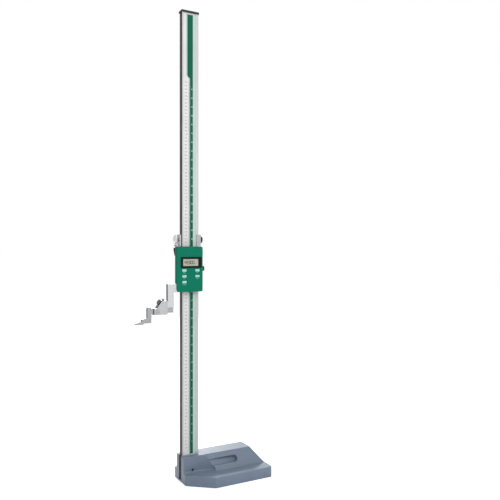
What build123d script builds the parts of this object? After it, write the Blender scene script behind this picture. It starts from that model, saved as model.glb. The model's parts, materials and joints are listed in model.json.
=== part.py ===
from build123d import *
import math
import os

os.makedirs("parts", exist_ok=True)

# Height gauge with a tall column. Millimetres, +Z up.
# The origin is on the floor under the middle of the column. +X runs along the base, away from
# the scriber, and -Y is the side that carries the scale and the display.

# ---- clearances ----
slide_gap = 0.3  # free space between a moving piece and what it passes
running_gap = 0.06  # radial clearance of a shaft that turns in its bore
fit_gap = 0.15  # play of a fixed piece in its pocket
over = 1.0  # how far a cut runs past the face that it opens
join = 0.5  # how far one shape enters another that it is fused with
same = 0.01  # edges this near to a place are on it

# ---- base casting ----
base_left = 28.0  # from the column's middle to the left end
base_length = 252.0
base_half_width = 98.0
base_left_half_width = 42.0  # half width of the narrow left end
base_shoulder = 40.0  # X where the slanting sides reach full width
flange_height = 29.5
plateau_height = 74.0
plateau_half_width = 26.0
ridge_end_run = 36.0  # how far the right end slopes out
ridge_foot_run = 25.0  # how far each side slopes out
ridge_flare = 36.0  # length over which the ridge widens behind the boss
boss_half_width = 27.0
boss_half_length = 28.0
beam_seat = 5.0  # height of the column's foot
plan_radius = 10.0  # corners of the flange, seen from above
cove_radius = 5.0
ridge_end_inset = 3.0  # ridge's foot to the right end
edge_radius = 2.5
crest_radius = 1.2
knob_edge_radius = 1.5
plate_chamfer = 1.5
pocket_length = 92.0
pocket_height = 20.0
pocket_depth = 9.0  # in the middle
pocket_tilt = 8.5  # degrees; the pocket deepens towards the right
pocket_start = 17.0  # from the boss to the pocket
relief_depth = 1.5
relief_margin = 18.0
set_screw_height = 36.0
set_screw_radius = 3.0
set_screw_depth = 1.0  # below the boss's face
set_screw_recess_radius = 4.6
set_screw_recess = 0.8

# ---- column ----
beam_width = 51.0
beam_depth = 18.0
beam_top = 1347.0
beam_chamfer = 0.6
strip_width = 37.0
strip_thickness = 0.8
strip_left_margin = 4.0
strip_start = 76.0
strip_end_gap = 5.0
cap_thickness = 6.0
cap_overhang = 2.0
cap_rear_overhang = 4.0
cap_screw_spacing = 30.0
cap_screw_setback = 1.0  # behind the column's middle
cap_screw_radius = 2.5
cap_screw_head_radius = 4.2
cap_screw_head_height = 2.8
cap_screw_length = 16.0

# ---- head: heights counted from the scriber's measuring face ----
reading = 459.0  # height of the measuring face at rest
index_height = 86.0  # display's lower edge above the measuring face

# ---- display housing ----
display_left = -51.5
display_width = 81.0
display_height = 129.0
display_depth = 12.0
display_wall = 2.0
display_front_wall = 1.8
display_corner = 5.0
display_lower_left_corner = 10.0
display_edge_radius = 2.4
rear_plate_thickness = 2.0
rear_plate_inset = 2.3

# ---- slider frame ----
socket_share = 0.6  # key socket's size as a share of the screw's radius
frame_wall = 6.0
frame_front_plate = 8.7
frame_lower_inset = 7.0
frame_upper_gap = 1.5  # left under the fine-adjust knob at its lowest
frame_chamfer = 1.0
rear_cover_thickness = 5.0
gib_thickness = 2.2
gib_width = 14.0
gib_end_inset = 4.0
cover_screw_radius = 2.0
cover_screw_head_radius = 3.6
cover_screw_head_height = 2.2
cover_screw_length = 13.0
cover_screw_rows = 3

# ---- fine adjustment and carriage ----
fine_travel = 4.0
fine_axis_x = -38.0
fine_screw_radius = 2.5
fine_knob_height = 23.0
fine_knob_radius = 9.5
fine_knob_tip_radius = 6.5
fine_knob_collar_radius = 5.0
fine_neck = 4.0
fine_knob_edge = 1.0
ear_radius = 5.0
ear_height = 24.0
carriage_gap = 0.5
carriage_height = 34.0
carriage_wall = 5.7
carriage_back = 6.0
carriage_ear_height = 4.5
carriage_ear_radius = 8.0
carriage_lip_depth = 2.7
carriage_lip_width = 6.0
clip_radius = 4.5
clip_thickness = 1.2
screw_end_rise = 1.0  # screw's end above its clip

# ---- knobs ----
clamp_axis_drop = 14.5  # from the carriage's top down to the clamp and drag axis
clamp_knob_radius = 13.0
clamp_knob_length = 13.5
clamp_knob_rim = 4.0
clamp_knob_neck_radius = 4.5
clamp_knob_dome = 2.6
clamp_knob_bevel = 0.8
clamp_screw_radius = 3.0
drag_knob_radius = 9.5
drag_knob_length = 8.0
pad_radius = 4.0
pad_thickness = 2.4
slider_knob_radius = 7.5
slider_knob_length = 12.0
slider_knob_height = 65.0  # above the display's lower edge
gib_screw_radius = 2.0
gib_screw_offset = 30.0
gib_screw_inset = 0.5  # below the frame's side

# ---- display parts ----
bezel_width = 64.0
bezel_height = 31.0
bezel_thickness = 1.4
bezel_corner = 2.5
bezel_seat = 2.0  # width of the shell's ledge under the bezel
bezel_right_margin = 4.3
bezel_middle = 83.5  # above the display's lower edge
glass_width = 47.0
glass_height = 20.0
glass_left_margin = 7.0
glass_thickness = 1.0
panel_thickness = 2.6
panel_margin = 3.0
board_thickness = 1.6
board_margin = 3.0
dome_radius = 1.5
board_lower_edge = 25.5  # board's lower edge above the display's lower edge
key_width = 13.0
key_height = 7.0
key_stand_out = 1.2
key_travel = 0.8
key_flange = 0.8
key_flange_thickness = 1.0
key_left_column = 23.5  # from the display's left side
key_right_column = 63.5
key_top_row = 61.0  # above the display's lower edge
key_pitch = 16.5
sensor_width = 40.0
sensor_height = 50.0
sensor_ledge = 2.0
sensor_ledge_thickness = 1.0
cell_radius = 10.0
cell_thickness = 3.2
cell_edge = 0.4
tray_width = 25.0
tray_height = 24.0
tray_thickness = 5.2
tray_right_margin = 10.5
tray_lip = 1.6
port_width = 13.0
port_height = 5.0
port_depth = 3.0
port_head = 1.0
port_drop = 20.0
housing_screw_radius = 1.3
housing_screw_head_radius = 2.4
housing_screw_head_height = 1.2
housing_screw_length = 7.0
housing_post_radius = 3.0
housing_post_gap = 1.0  # from a post to the rear plate's edge
plate_screw_length = 6.0
plate_screw_margin = 3.5  # from the sensor's window

# ---- measuring arm ----
arm_thickness = 12.0
arm_width = 18.0
arm_left = -77.0
arm_tab_height = 24.0
arm_tab_step = 3.2  # the tab is thinner inside the housing
arm_step_gap = 1.0  # from the housing's wall to that step
arm_tab_end = -22.0
arm_drop = 42.0  # from the display's lower edge to the nose's underside
nose_height = 16.0
nose_length = 21.0
nose_chamfer = 5.0
arm_fillet = 3.0
arm_screw_radius = 2.5
arm_screw_head_radius = 3.8
arm_screw_head_height = 4.5
arm_screw_length = 10.0
arm_screw_spacing = 9.0
arm_hole_floor = 1.0  # metal left behind the arm's tapped holes

# ---- scriber and its clamp ----
scriber_thickness = 9.6
shank_height = 14.0
shank_right = -60.0
leg_left = -136.0
leg_width = 12.0
leg_rise = 3.0
foot_left = -152.0
foot_height = 15.0
foot_clearance = 3.0
tip_left = -173.0
tip_length = 6.0  # brazed length under the foot
tip_root_height = 5.5
tip_end_height = 2.0
tip_end_width = 5.0
clamp_wall = 3.6
clamp_right = -79.0
clamp_length = 39.0
thumb_tilt = 36.0
thumb_radius = 7.0
thumb_height = 6.0
thumb_screw_radius = 2.5
thumb_edge = 0.6
lock_radius = 2.0
lock_head_radius = 3.5
lock_head_height = 6.0
lock_inset = 10.0
lock_edge = 0.5

# ---- worked out from the values above ----
base_right = base_length - base_left
beam_side = beam_width / 2
beam_face = beam_depth / 2
strip_left = -beam_side + strip_left_margin
display_bottom = reading + index_height
display_top = display_bottom + display_height
display_right = display_left + display_width
frame_face = -beam_face - slide_gap - frame_front_plate  # Y of the slider frame's front
display_back = frame_face - rear_plate_thickness
display_face = display_back - display_depth
display_inner_face = display_face + display_front_wall
frame_left = -beam_side - slide_gap - frame_wall
gib_outer = beam_side + slide_gap + gib_thickness
frame_right = gib_outer + frame_wall
frame_back = beam_face + slide_gap
cover_back = frame_back + rear_cover_thickness
carriage_bottom = display_top + carriage_gap
carriage_top = carriage_bottom + carriage_height
carriage_left = -beam_side - slide_gap - carriage_wall
carriage_right = -carriage_left
carriage_rear = frame_back + carriage_back
clamp_axis_z = carriage_top - clamp_axis_drop
fine_knob_top = carriage_bottom - fine_neck
fine_knob_bottom = fine_knob_top - fine_knob_height
frame_bottom = display_bottom + frame_lower_inset
frame_top = fine_knob_bottom - fine_travel - frame_upper_gap
frame_middle = (frame_bottom + frame_top) / 2
slider_knob_z = display_bottom + slider_knob_height
arm_face = frame_face - arm_thickness
arm_middle_y = (arm_face + frame_face) / 2
arm_right = arm_left + arm_width
arm_tab_top = display_bottom + arm_tab_height
nose_bottom = display_bottom - arm_drop
nose_top = nose_bottom + nose_height
nose_left = arm_left - nose_length
shank_bottom = nose_bottom - slide_gap - shank_height
bezel_right = display_right - bezel_right_margin
bezel_left = bezel_right - bezel_width
bezel_z = display_bottom + bezel_middle
glass_left = bezel_left + glass_left_margin
board_back = display_back - board_thickness


def block(x, y, z):
    """Box between a low and a high limit on each axis."""
    size = Box(abs(x[1] - x[0]), abs(y[1] - y[0]), abs(z[1] - z[0]))
    return Pos((x[0] + x[1]) / 2, (y[0] + y[1]) / 2, (z[0] + z[1]) / 2) * size


def rod_x(radius, start, end, y, z):
    """Cylinder along X from start to end."""
    return Pos((start + end) / 2, y, z) * Rot(0, 90, 0) * Cylinder(radius, abs(end - start))


def rod_y(radius, start, end, x, z):
    """Cylinder along Y from start to end."""
    return Pos(x, (start + end) / 2, z) * Rot(90, 0, 0) * Cylinder(radius, abs(end - start))


def rod_z(radius, start, end, x, y):
    """Cylinder along Z from start to end."""
    return Pos(x, y, (start + end) / 2) * Cylinder(radius, abs(end - start))


def prism_y(points, start, end, corner=0.0):
    """Outline in X and Z, extruded along Y from start to end."""
    outline = make_face(Polyline(*[Vector(x, start, z) for x, z in points], close=True))
    if corner:
        outline = fillet(outline.vertices(), corner)
    return extrude(outline, amount=end - start, dir=(0, 1, 0))


def plate_xy(points, bottom, top):
    """Outline in X and Y, extruded up from bottom to top."""
    outline = make_face(Polyline(*[Vector(x, y, bottom) for x, y in points], close=True))
    return extrude(outline, amount=top - bottom, dir=(0, 0, 1))


def mirrored(points):
    """Outline closed by its own mirror image across the X axis."""
    return points + [(x, -y) for x, y in reversed(points)]


def hex_socket(radius, depth):
    """Hexagonal key socket, opening upwards at Z = 0."""
    return Pos(0, 0, -depth) * extrude(RegularPolygon(radius, 6), amount=depth + over)


def cap_screw(radius, length, head_radius, head_height):
    """Screw along Z: its head stands on Z = 0 and its shank hangs below."""
    head = Pos(0, 0, head_height / 2) * Cylinder(head_radius, head_height)
    head = chamfer(head.edges().group_by(Axis.Z)[-1], head_height * 0.12)
    shank = Pos(0, 0, -length / 2) * Cylinder(radius, length)
    socket = Pos(0, 0, head_height) * hex_socket(head_radius * 0.55, head_height * 0.6)
    return head + shank - socket


def write(name, shape):
    """Write one node as a STEP file."""
    solids = shape.solids()
    export_step(Compound(children=solids) if len(solids) > 1 else solids[0], f"parts/{name}.step")


# ------------------------------------------------------------------ base
def flare_outline(right, foot_half):
    """Outline that widens from the boss to the ridge's foot in an arc on each side."""
    edges = [
        Line((0, -boss_half_width), (0, boss_half_width)),
        Line((right, -foot_half), (right, foot_half)),
    ]
    for side in (-1, 1):
        corner = (boss_half_length, side * boss_half_width)
        wide = (boss_half_length + ridge_flare, side * foot_half)
        edges.append(Line((0, side * boss_half_width), corner))
        edges.append(TangentArc(corner, wide, tangent=(1, 0)))
        edges.append(Line(wide, (right, side * foot_half)))
    return edges


def plate_between(edges, bottom, height):
    """Plate over a closed outline in X and Y."""
    return Pos(0, 0, bottom) * extrude(make_face(edges), amount=height)


def ridge_foot_half():
    """Half width of the ridge where it stands on the flange."""
    return plateau_half_width + ridge_foot_run


def base_flange():
    """Plate on the floor, narrow at its left end."""
    plan = mirrored(
        [
            (-base_left, -base_left_half_width),
            (base_shoulder, -base_half_width),
            (base_right, -base_half_width),
        ]
    )
    flange = plate_xy(plan, 0, flange_height)
    return fillet(flange.edges().filter_by(Axis.Z), plan_radius)


def base_ridge():
    """Bar with sloping sides and a sloping right end, cut to the flare's outline."""
    foot_half = ridge_foot_half()
    foot_right = base_right - ridge_end_inset
    crest_right = foot_right - ridge_end_run
    foot = mirrored([(0, -foot_half), (foot_right, -foot_half)])
    crest = mirrored([(0, -plateau_half_width), (crest_right, -plateau_half_width)])
    foot_face = make_face(Polyline(*[Vector(x, y, flange_height) for x, y in foot], close=True))
    crest_face = make_face(Polyline(*[Vector(x, y, plateau_height) for x, y in crest], close=True))
    bar = loft([foot_face, crest_face], ruled=True)
    flare = flare_outline(base_right, foot_half)
    return bar & plate_between(flare, flange_height, plateau_height - flange_height)


def is_concave_foot(edge):
    """Whether an edge is where the boss or the ridge meets the flange's top."""
    middle = edge.center()
    half = ridge_foot_half() if middle.X > boss_half_length else boss_half_width
    on_flange = abs(middle.Z - flange_height) < same
    inside = -base_left + same < middle.X < base_right - same
    return on_flange and inside and abs(middle.Y) < half + join


def is_flange_rim(edge):
    """Whether an edge is on the flange's outer rim, at its top."""
    middle = edge.center()
    clear = ridge_foot_half() + cove_radius
    return abs(middle.Z - flange_height) < same and abs(middle.Y) > clear


def finger_pocket(side):
    """Cutter of the slanting finger pocket in one of the ridge's sides."""
    slope = math.atan2(ridge_foot_run, plateau_height - flange_height)
    out = Vector(0, side * math.cos(slope), math.sin(slope))
    turn = math.tan(math.radians(pocket_tilt))
    middle = Vector(
        boss_half_length + pocket_start + pocket_length / 2,
        side * (plateau_half_width + ridge_foot_run / 2),
        (flange_height + plateau_height) / 2,
    )
    surface = Plane(
        origin=middle,
        x_dir=Vector(1, 0, 0) - out * turn,
        z_dir=out + Vector(1, 0, 0) * turn,
    )
    mouth = surface * SlotOverall(pocket_length, pocket_height)
    cutter = extrude(mouth, amount=-pocket_depth) + extrude(mouth, amount=2 * pocket_depth)
    floor = cutter.faces().sort_by(Axis(surface.origin, surface.z_dir))[0]
    return fillet(floor.edges(), pocket_height * 0.3)


def base_relief():
    """Cutter under the flange that leaves a bearing rim, and all of the left end."""
    relief = block(
        (base_shoulder + relief_margin, base_right - relief_margin),
        (-base_half_width + relief_margin, base_half_width - relief_margin),
        (-over, relief_depth),
    )
    return fillet(relief.edges().filter_by(Axis.Z), plan_radius)


def base_casting():
    """Flange, ridge, column boss, finger pockets and relieved underside."""
    boss = block(
        (-base_left, boss_half_length), (-boss_half_width, boss_half_width), (0, plateau_height)
    )
    casting = base_flange() + base_ridge() + boss
    casting = fillet([e for e in casting.edges() if is_concave_foot(e)], cove_radius)
    casting = fillet([e for e in casting.edges() if is_flange_rim(e)], edge_radius)
    crest = [e for e in casting.edges() if abs(e.center().Z - plateau_height) < same]
    casting = fillet(crest, crest_radius)
    # The column stands in a slot that is open at the left end.
    casting -= block(
        (-base_left - over, beam_side + fit_gap),
        (-beam_face - fit_gap, beam_face + fit_gap),
        (beam_seat, plateau_height + over),
    )
    casting -= base_relief()
    # Finger pockets, and tapped holes for the set screws, front and back.
    for side in (-1, 1):
        casting -= finger_pocket(side)
        face = side * boss_half_width
        inner = side * beam_face
        outer = face + side * over
        recess = face - side * set_screw_recess
        casting -= rod_y(set_screw_radius, inner, outer, 0, set_screw_height)
        casting -= rod_y(set_screw_recess_radius, recess, outer, 0, set_screw_height)
    return casting


def beam_screws():
    """Socket set screws that hold the column in the boss."""
    screws = []
    length = boss_half_width - beam_face - fit_gap - set_screw_depth
    for side in (-1, 1):
        body = Pos(0, 0, -length / 2) * Cylinder(set_screw_radius, length)
        body -= hex_socket(set_screw_radius * socket_share, set_screw_radius)
        place = Plane(
            origin=(0, side * (beam_face + fit_gap + length), set_screw_height),
            x_dir=(1, 0, 0),
            z_dir=(0, side, 0),
        )
        screws.append(place * body)
    return screws[0] + screws[1]


# ------------------------------------------------------------------ column
def beam():
    """Ground bar with a shallow groove for the scale strip."""
    bar = block((-beam_side, beam_side), (-beam_face, beam_face), (beam_seat, beam_top))
    bar = chamfer(bar.edges().filter_by(Axis.Z), beam_chamfer)
    groove = block(
        (strip_left - fit_gap, strip_left + strip_width + fit_gap),
        (-beam_face - over, -beam_face + strip_thickness),
        (strip_start, beam_top + over),
    )
    bar -= groove
    for side in (-1, 1):
        bar -= rod_z(
            cap_screw_radius,
            beam_top - cap_screw_length,
            beam_top + over,
            side * cap_screw_spacing / 2,
            cap_screw_setback,
        )
    return bar


def scale_strip():
    """Printed strip in the groove of the column."""
    return block(
        (strip_left, strip_left + strip_width),
        (-beam_face, -beam_face + strip_thickness),
        (strip_start, beam_top - strip_end_gap),
    )


def top_cap():
    """Plate that closes the column's top, with two counterbored holes."""
    cap = block(
        (-beam_side - cap_overhang, beam_side + cap_overhang),
        (-beam_face - cap_overhang, beam_face + cap_rear_overhang),
        (beam_top, beam_top + cap_thickness),
    )
    cap = fillet(cap.edges().filter_by(Axis.Z), cap_overhang)
    cap = chamfer(cap.edges().group_by(Axis.Z)[-1], cap_overhang * 0.4)
    for side in (-1, 1):
        x = side * cap_screw_spacing / 2
        high = beam_top + cap_thickness + over
        cap -= rod_z(cap_screw_radius + fit_gap, beam_top - over, high, x, cap_screw_setback)
        cap -= rod_z(
            cap_screw_head_radius + fit_gap,
            beam_top + cap_thickness - cap_screw_head_height,
            high,
            x,
            cap_screw_setback,
        )
    return cap


def cap_screws():
    """Two socket screws that hold the cap."""
    screw = cap_screw(
        cap_screw_radius,
        cap_screw_length - cap_screw_radius,
        cap_screw_head_radius,
        cap_screw_head_height,
    )
    z = beam_top + cap_thickness - cap_screw_head_height
    left = Pos(-cap_screw_spacing / 2, cap_screw_setback, z) * screw
    right = Pos(cap_screw_spacing / 2, cap_screw_setback, z) * screw
    return left + right


# ------------------------------------------------------------------ carriage
def carriage_block():
    """U-shaped block behind the column, with two arms, a front lip and an ear."""
    body = block(
        (carriage_left, carriage_right),
        (frame_back, carriage_rear),
        (carriage_bottom, carriage_top),
    )
    left_arm = block(
        (carriage_left, -beam_side - slide_gap),
        (-beam_face + pad_radius, frame_back),
        (carriage_bottom, carriage_top),
    )
    right_arm = block(
        (beam_side + slide_gap, carriage_right),
        (-beam_face - slide_gap - carriage_lip_depth, frame_back),
        (carriage_bottom, carriage_top),
    )
    lip = block(
        (beam_side - carriage_lip_width, carriage_right),
        (-beam_face - slide_gap - carriage_lip_depth, -beam_face - slide_gap),
        (carriage_bottom, carriage_top),
    )
    body = body + left_arm + right_arm + lip
    body = chamfer(body.edges().filter_by(Axis.Z).group_by(Axis.Y)[-1], plate_chamfer)
    # The ear holds the fine-adjust screw.
    ear_top = carriage_bottom + carriage_ear_height
    ear = rod_z(carriage_ear_radius, carriage_bottom, ear_top, fine_axis_x, 0)
    ear += block(
        (fine_axis_x, carriage_left + join),
        (-beam_face + pad_radius, carriage_ear_radius),
        (carriage_bottom, ear_top),
    )
    body += ear
    body -= rod_z(
        fine_screw_radius + running_gap, carriage_bottom - over, carriage_top, fine_axis_x, 0
    )
    # Holes and pad pockets of the clamp and drag screws.
    for side in (-1, 1):
        inner = side * (beam_side + slide_gap)
        outer = side * (carriage_right + over)
        body -= rod_x(clamp_screw_radius + running_gap, inner, outer, 0, clamp_axis_z)
        body -= rod_x(
            pad_radius + fit_gap, inner - side, inner + side * pad_thickness, 0, clamp_axis_z
        )
    return body


def pad(side):
    """Brass disc between a screw's end and the column's side."""
    inner = side * (beam_side + slide_gap)
    return rod_x(pad_radius, inner, inner + side * pad_thickness, 0, clamp_axis_z)


def carriage_clamp_screw():
    """Conical knurled knob with its screw, at the left of the carriage."""
    knob_start = carriage_left - slide_gap
    knob_end = knob_start - clamp_knob_length
    rim_start = knob_end + clamp_knob_rim
    half = [
        (knob_start, 0),
        (knob_start, clamp_knob_neck_radius),
        (rim_start, clamp_knob_radius),
        (knob_end + clamp_knob_bevel, clamp_knob_radius),
        (knob_end, clamp_knob_radius - clamp_knob_bevel),
        (knob_end - clamp_knob_dome * 0.8, clamp_knob_radius * 0.6),
        (knob_end - clamp_knob_dome, clamp_knob_radius * 0.25),
        (knob_end - clamp_knob_dome, 0),
    ]
    outline = make_face(Polyline(*[Vector(x, 0, r) for x, r in half], close=True))
    knob = Pos(0, 0, clamp_axis_z) * revolve(outline, Axis.X, 360)
    shank_end = -beam_side - slide_gap - pad_thickness
    return knob + rod_x(clamp_screw_radius, knob_start - join, shank_end, 0, clamp_axis_z)


def drag_screw():
    """Round knob with its screw, at the right of the carriage."""
    knob_start = carriage_right + slide_gap
    knob = rod_x(drag_knob_radius, knob_start, knob_start + drag_knob_length, 0, clamp_axis_z)
    knob = fillet(knob.edges().group_by(Axis.X)[-1], knob_edge_radius)
    shank_end = beam_side + slide_gap + pad_thickness
    return knob + rod_x(clamp_screw_radius, shank_end, knob_start + join, 0, clamp_axis_z)


def fine_adjust_screw():
    """Screw that hangs in the carriage's ear and turns in the slider's ear."""
    low = frame_top - ear_height
    high = carriage_bottom + carriage_ear_height + clip_thickness + screw_end_rise
    return rod_z(fine_screw_radius, low, high, fine_axis_x, 0)


def fine_adjust_knob():
    """Tapered knob fixed on the fine-adjust screw."""
    half = [
        (fine_screw_radius, fine_knob_bottom),
        (fine_knob_tip_radius, fine_knob_bottom),
        (fine_knob_radius, fine_knob_top - fine_knob_height * 0.35),
        (fine_knob_radius, fine_knob_top),
        (fine_screw_radius, fine_knob_top),
    ]
    outline = make_face(Polyline(*[Vector(r, 0, z) for r, z in half], close=True))
    knob = revolve(outline, Axis.Z, 360)
    knob = fillet(knob.edges().group_by(Axis.Z)[-1].sort_by(SortBy.RADIUS)[-1], fine_knob_edge)
    collar_top = carriage_bottom - slide_gap
    collar = rod_z(fine_knob_collar_radius, fine_knob_top, collar_top, 0, 0)
    collar -= rod_z(fine_screw_radius, fine_knob_top - over, collar_top + over, 0, 0)
    return Pos(fine_axis_x, 0, 0) * (knob + collar)


def screw_clip():
    """Retaining ring on the screw, above the carriage's ear."""
    low = carriage_bottom + carriage_ear_height + slide_gap
    ring = rod_z(clip_radius, low, low + clip_thickness, fine_axis_x, 0)
    high = low + clip_thickness + over
    return ring - rod_z(fine_screw_radius, low - over, high, fine_axis_x, 0)


# ------------------------------------------------------------------ slider
def cover_screw_places():
    """Middles of the rear cover's screws, in X and Z."""
    step = (frame_top - frame_bottom - 4 * gib_end_inset) / (cover_screw_rows - 1)
    rows = [frame_bottom + 2 * gib_end_inset + i * step for i in range(cover_screw_rows)]
    columns = (frame_left + frame_wall / 2, frame_right - frame_wall / 2)
    return [(x, z) for x in columns for z in rows]


def slider_frame():
    """Channel round the column's front and sides, with the ear for the fine-adjust screw."""
    body = block((frame_left, frame_right), (frame_face, frame_back), (frame_bottom, frame_top))
    body = chamfer(body.edges().filter_by(Axis.Z).group_by(Axis.Y)[0], frame_chamfer)
    body -= block(
        (-beam_side - slide_gap, gib_outer),
        (-beam_face - slide_gap, frame_back + over),
        (frame_bottom - over, frame_top + over),
    )
    ear_low = frame_top - ear_height
    ear = rod_z(ear_radius, ear_low, frame_top, fine_axis_x, 0)
    ear += block((fine_axis_x, frame_left + join), (-ear_radius, ear_radius), (ear_low, frame_top))
    body += ear
    body -= rod_z(
        fine_screw_radius + running_gap, ear_low - over, frame_top + over, fine_axis_x, 0
    )
    # Window and ledge for the sensor board.
    middle_x = strip_left + strip_width / 2
    half_w = sensor_width / 2
    half_h = sensor_height / 2
    body -= block(
        (middle_x - half_w + sensor_ledge, middle_x + half_w - sensor_ledge),
        (frame_face - over, -beam_face + over),
        (frame_middle - half_h + sensor_ledge, frame_middle + half_h - sensor_ledge),
    )
    body -= block(
        (middle_x - half_w - fit_gap, middle_x + half_w + fit_gap),
        (frame_face - over, -beam_face - slide_gap - sensor_ledge_thickness),
        (frame_middle - half_h - fit_gap, frame_middle + half_h + fit_gap),
    )
    # Gib screws and clamp screw in the right wall.
    low = gib_outer - over
    high = frame_right + over
    for offset in (-gib_screw_offset, gib_screw_offset):
        body -= rod_x(gib_screw_radius, low, high, 0, frame_middle + offset)
    body -= rod_x(clamp_screw_radius + running_gap, low, high, 0, slider_knob_z)
    # Tapped holes for the cover, the arm and the rear plate.
    low = frame_back - cover_screw_length
    for x, z in cover_screw_places():
        body -= rod_y(cover_screw_radius, low, frame_back + over, x, z)
    high = frame_face + frame_front_plate - arm_hole_floor
    for x, z in arm_screw_places():
        body -= rod_y(arm_screw_radius, frame_face - over, high, x, z)
    high = frame_face + plate_screw_length
    for x, z in plate_screw_places():
        body -= rod_y(housing_screw_radius, frame_face - over, high, x, z)
    return body


def slider_cover():
    """Plate that closes the slider frame behind the column."""
    plate = block((frame_left, frame_right), (frame_back, cover_back), (frame_bottom, frame_top))
    plate = chamfer(plate.edges().filter_by(Axis.Z).group_by(Axis.Y)[-1], plate_chamfer)
    for x, z in cover_screw_places():
        high = cover_back + over
        low = cover_back - cover_screw_head_height
        plate -= rod_y(cover_screw_radius + fit_gap, frame_back - over, high, x, z)
        plate -= rod_y(cover_screw_head_radius + fit_gap, low, high, x, z)
    return plate


def cover_screws():
    """Screws of the slider's rear cover."""
    screw = cap_screw(
        cover_screw_radius,
        cover_screw_length,
        cover_screw_head_radius,
        cover_screw_head_height,
    )
    y = cover_back - cover_screw_head_height
    places = [
        Plane(origin=(x, y, z), x_dir=(1, 0, 0), z_dir=(0, 1, 0)) * screw
        for x, z in cover_screw_places()
    ]
    return Compound(children=places)


def slider_gib():
    """Brass strip that takes up the play beside the column."""
    return block(
        (beam_side + slide_gap, gib_outer - fit_gap),
        (-gib_width / 2, gib_width / 2),
        (frame_bottom + gib_end_inset, frame_top - gib_end_inset),
    )


def gib_screws():
    """Two socket set screws that press on the gib."""
    screws = []
    for offset in (-gib_screw_offset, gib_screw_offset):
        low = gib_outer - fit_gap
        screw = rod_x(gib_screw_radius, low, frame_right - gib_screw_inset, 0, frame_middle + offset)
        socket = Rot(0, 90, 0) * hex_socket(gib_screw_radius * socket_share, gib_screw_radius)
        screws.append(screw - Pos(frame_right - gib_screw_inset, 0, frame_middle + offset) * socket)
    return Compound(children=screws)


def slider_clamp_screw():
    """Small round knob with its screw, at the right of the slider."""
    knob_start = frame_right + slide_gap
    knob = rod_x(
        slider_knob_radius, knob_start, knob_start + slider_knob_length, 0, slider_knob_z
    )
    knob = fillet(knob.edges().group_by(Axis.X)[-1], knob_edge_radius)
    low = gib_outer - fit_gap + running_gap
    return knob + rod_x(clamp_screw_radius, low, knob_start + join, 0, slider_knob_z)


# ------------------------------------------------------------------ display housing
def display_outline(y, inset):
    """Housing outline at depth y, inset from the outer faces."""
    width = display_width - 2 * inset
    height = display_height - 2 * inset
    middle = (display_left + display_width / 2, y, display_bottom + display_height / 2)
    plane = Plane(origin=middle, x_dir=(1, 0, 0), z_dir=(0, -1, 0))
    sketch = Rectangle(width, height)
    corners = sketch.vertices()
    lower_left = corners.sort_by(Axis.Y)[:2].sort_by(Axis.X)[0]
    others = [v for v in corners if v != lower_left]
    sketch = fillet(others, display_corner - inset)
    lower_left = sketch.vertices().sort_by(lambda v: v.X + v.Y)[0]
    sketch = fillet(lower_left, display_lower_left_corner - inset)
    return plane * sketch


def housing_screw_places():
    """Middles of the four housing screws, in X and Z."""
    inset = rear_plate_inset + housing_post_radius + housing_post_gap
    left = display_left + inset
    right = display_right - inset
    top = display_top - inset
    low_left = arm_tab_top + inset
    low_right = display_bottom + inset
    return [(left, top), (right, top), (left, low_left), (right, low_right)]


def plate_screw_places():
    """Middles of the screws that hold the rear plate on the slider, in X and Z."""
    half = sensor_width / 2 + plate_screw_margin
    middle_x = strip_left + strip_width / 2
    rise = sensor_height / 2 + 2 * plate_screw_margin
    rows = (frame_middle - rise + 3 * plate_screw_margin, frame_middle + rise)
    return [(middle_x + side * half, z) for side in (-1, 1) for z in rows]


def key_places():
    """Middles of the five keys, in X and Z, from the upper left."""
    top = display_bottom + key_top_row
    left = [(display_left + key_left_column, top - i * key_pitch) for i in range(3)]
    right = [(display_left + key_right_column, top - i * key_pitch) for i in range(2)]
    return left + right


def tray_limits():
    """Left and right limits of the battery tray."""
    right = display_right - tray_right_margin
    return right - tray_width, right


def front_shell():
    """Moulded front of the display housing, open at the back."""
    outer = extrude(display_outline(display_back, 0), amount=display_depth)
    outer = fillet(outer.faces().sort_by(Axis.Y)[0].edges(), display_edge_radius)
    inner = extrude(
        display_outline(display_back + over, display_wall),
        amount=display_depth - display_front_wall + over,
    )
    shell = outer - inner
    for x, z in housing_screw_places():
        post = rod_y(housing_post_radius, display_inner_face - join, display_back, x, z)
        post -= rod_y(housing_screw_radius, display_inner_face + over, display_back + over, x, z)
        shell += post
    # Recess and window of the display.
    shell -= block(
        (bezel_left - fit_gap, bezel_right + fit_gap),
        (display_face - over, display_face + bezel_thickness / 2),
        (bezel_z - bezel_height / 2 - fit_gap, bezel_z + bezel_height / 2 + fit_gap),
    )
    shell -= block(
        (bezel_left + bezel_seat, bezel_right - bezel_seat),
        (display_face - over, display_inner_face + over),
        (bezel_z - bezel_height / 2 + bezel_seat, bezel_z + bezel_height / 2 - bezel_seat),
    )
    for x, z in key_places():
        shell -= block(
            (x - key_width / 2 - slide_gap, x + key_width / 2 + slide_gap),
            (display_face - over, display_inner_face + over),
            (z - key_height / 2 - slide_gap, z + key_height / 2 + slide_gap),
        )
    # Way out for the measuring arm at the lower left.
    shell -= block(
        (display_left - over, arm_tab_end + slide_gap),
        (arm_face - fit_gap, display_back + over),
        (display_bottom - over, arm_tab_top + slide_gap),
    )
    # Mouth of the battery tray in the lower wall.
    left, right = tray_limits()
    shell -= block(
        (left - slide_gap, right + slide_gap),
        (display_back - tray_thickness - 2 * slide_gap, display_back - slide_gap / 3),
        (display_bottom - over, display_bottom + display_wall + over),
    )
    # Socket of the data port in the right wall.
    port_z = display_top - port_drop
    middle_y = (display_face + display_back) / 2
    shell -= block(
        (display_right - display_wall - over, display_right + over),
        (middle_y - port_height / 2 - fit_gap, middle_y + port_height / 2 + fit_gap),
        (port_z - port_width / 2 - fit_gap, port_z + port_width / 2 + fit_gap),
    )
    return shell


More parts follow.
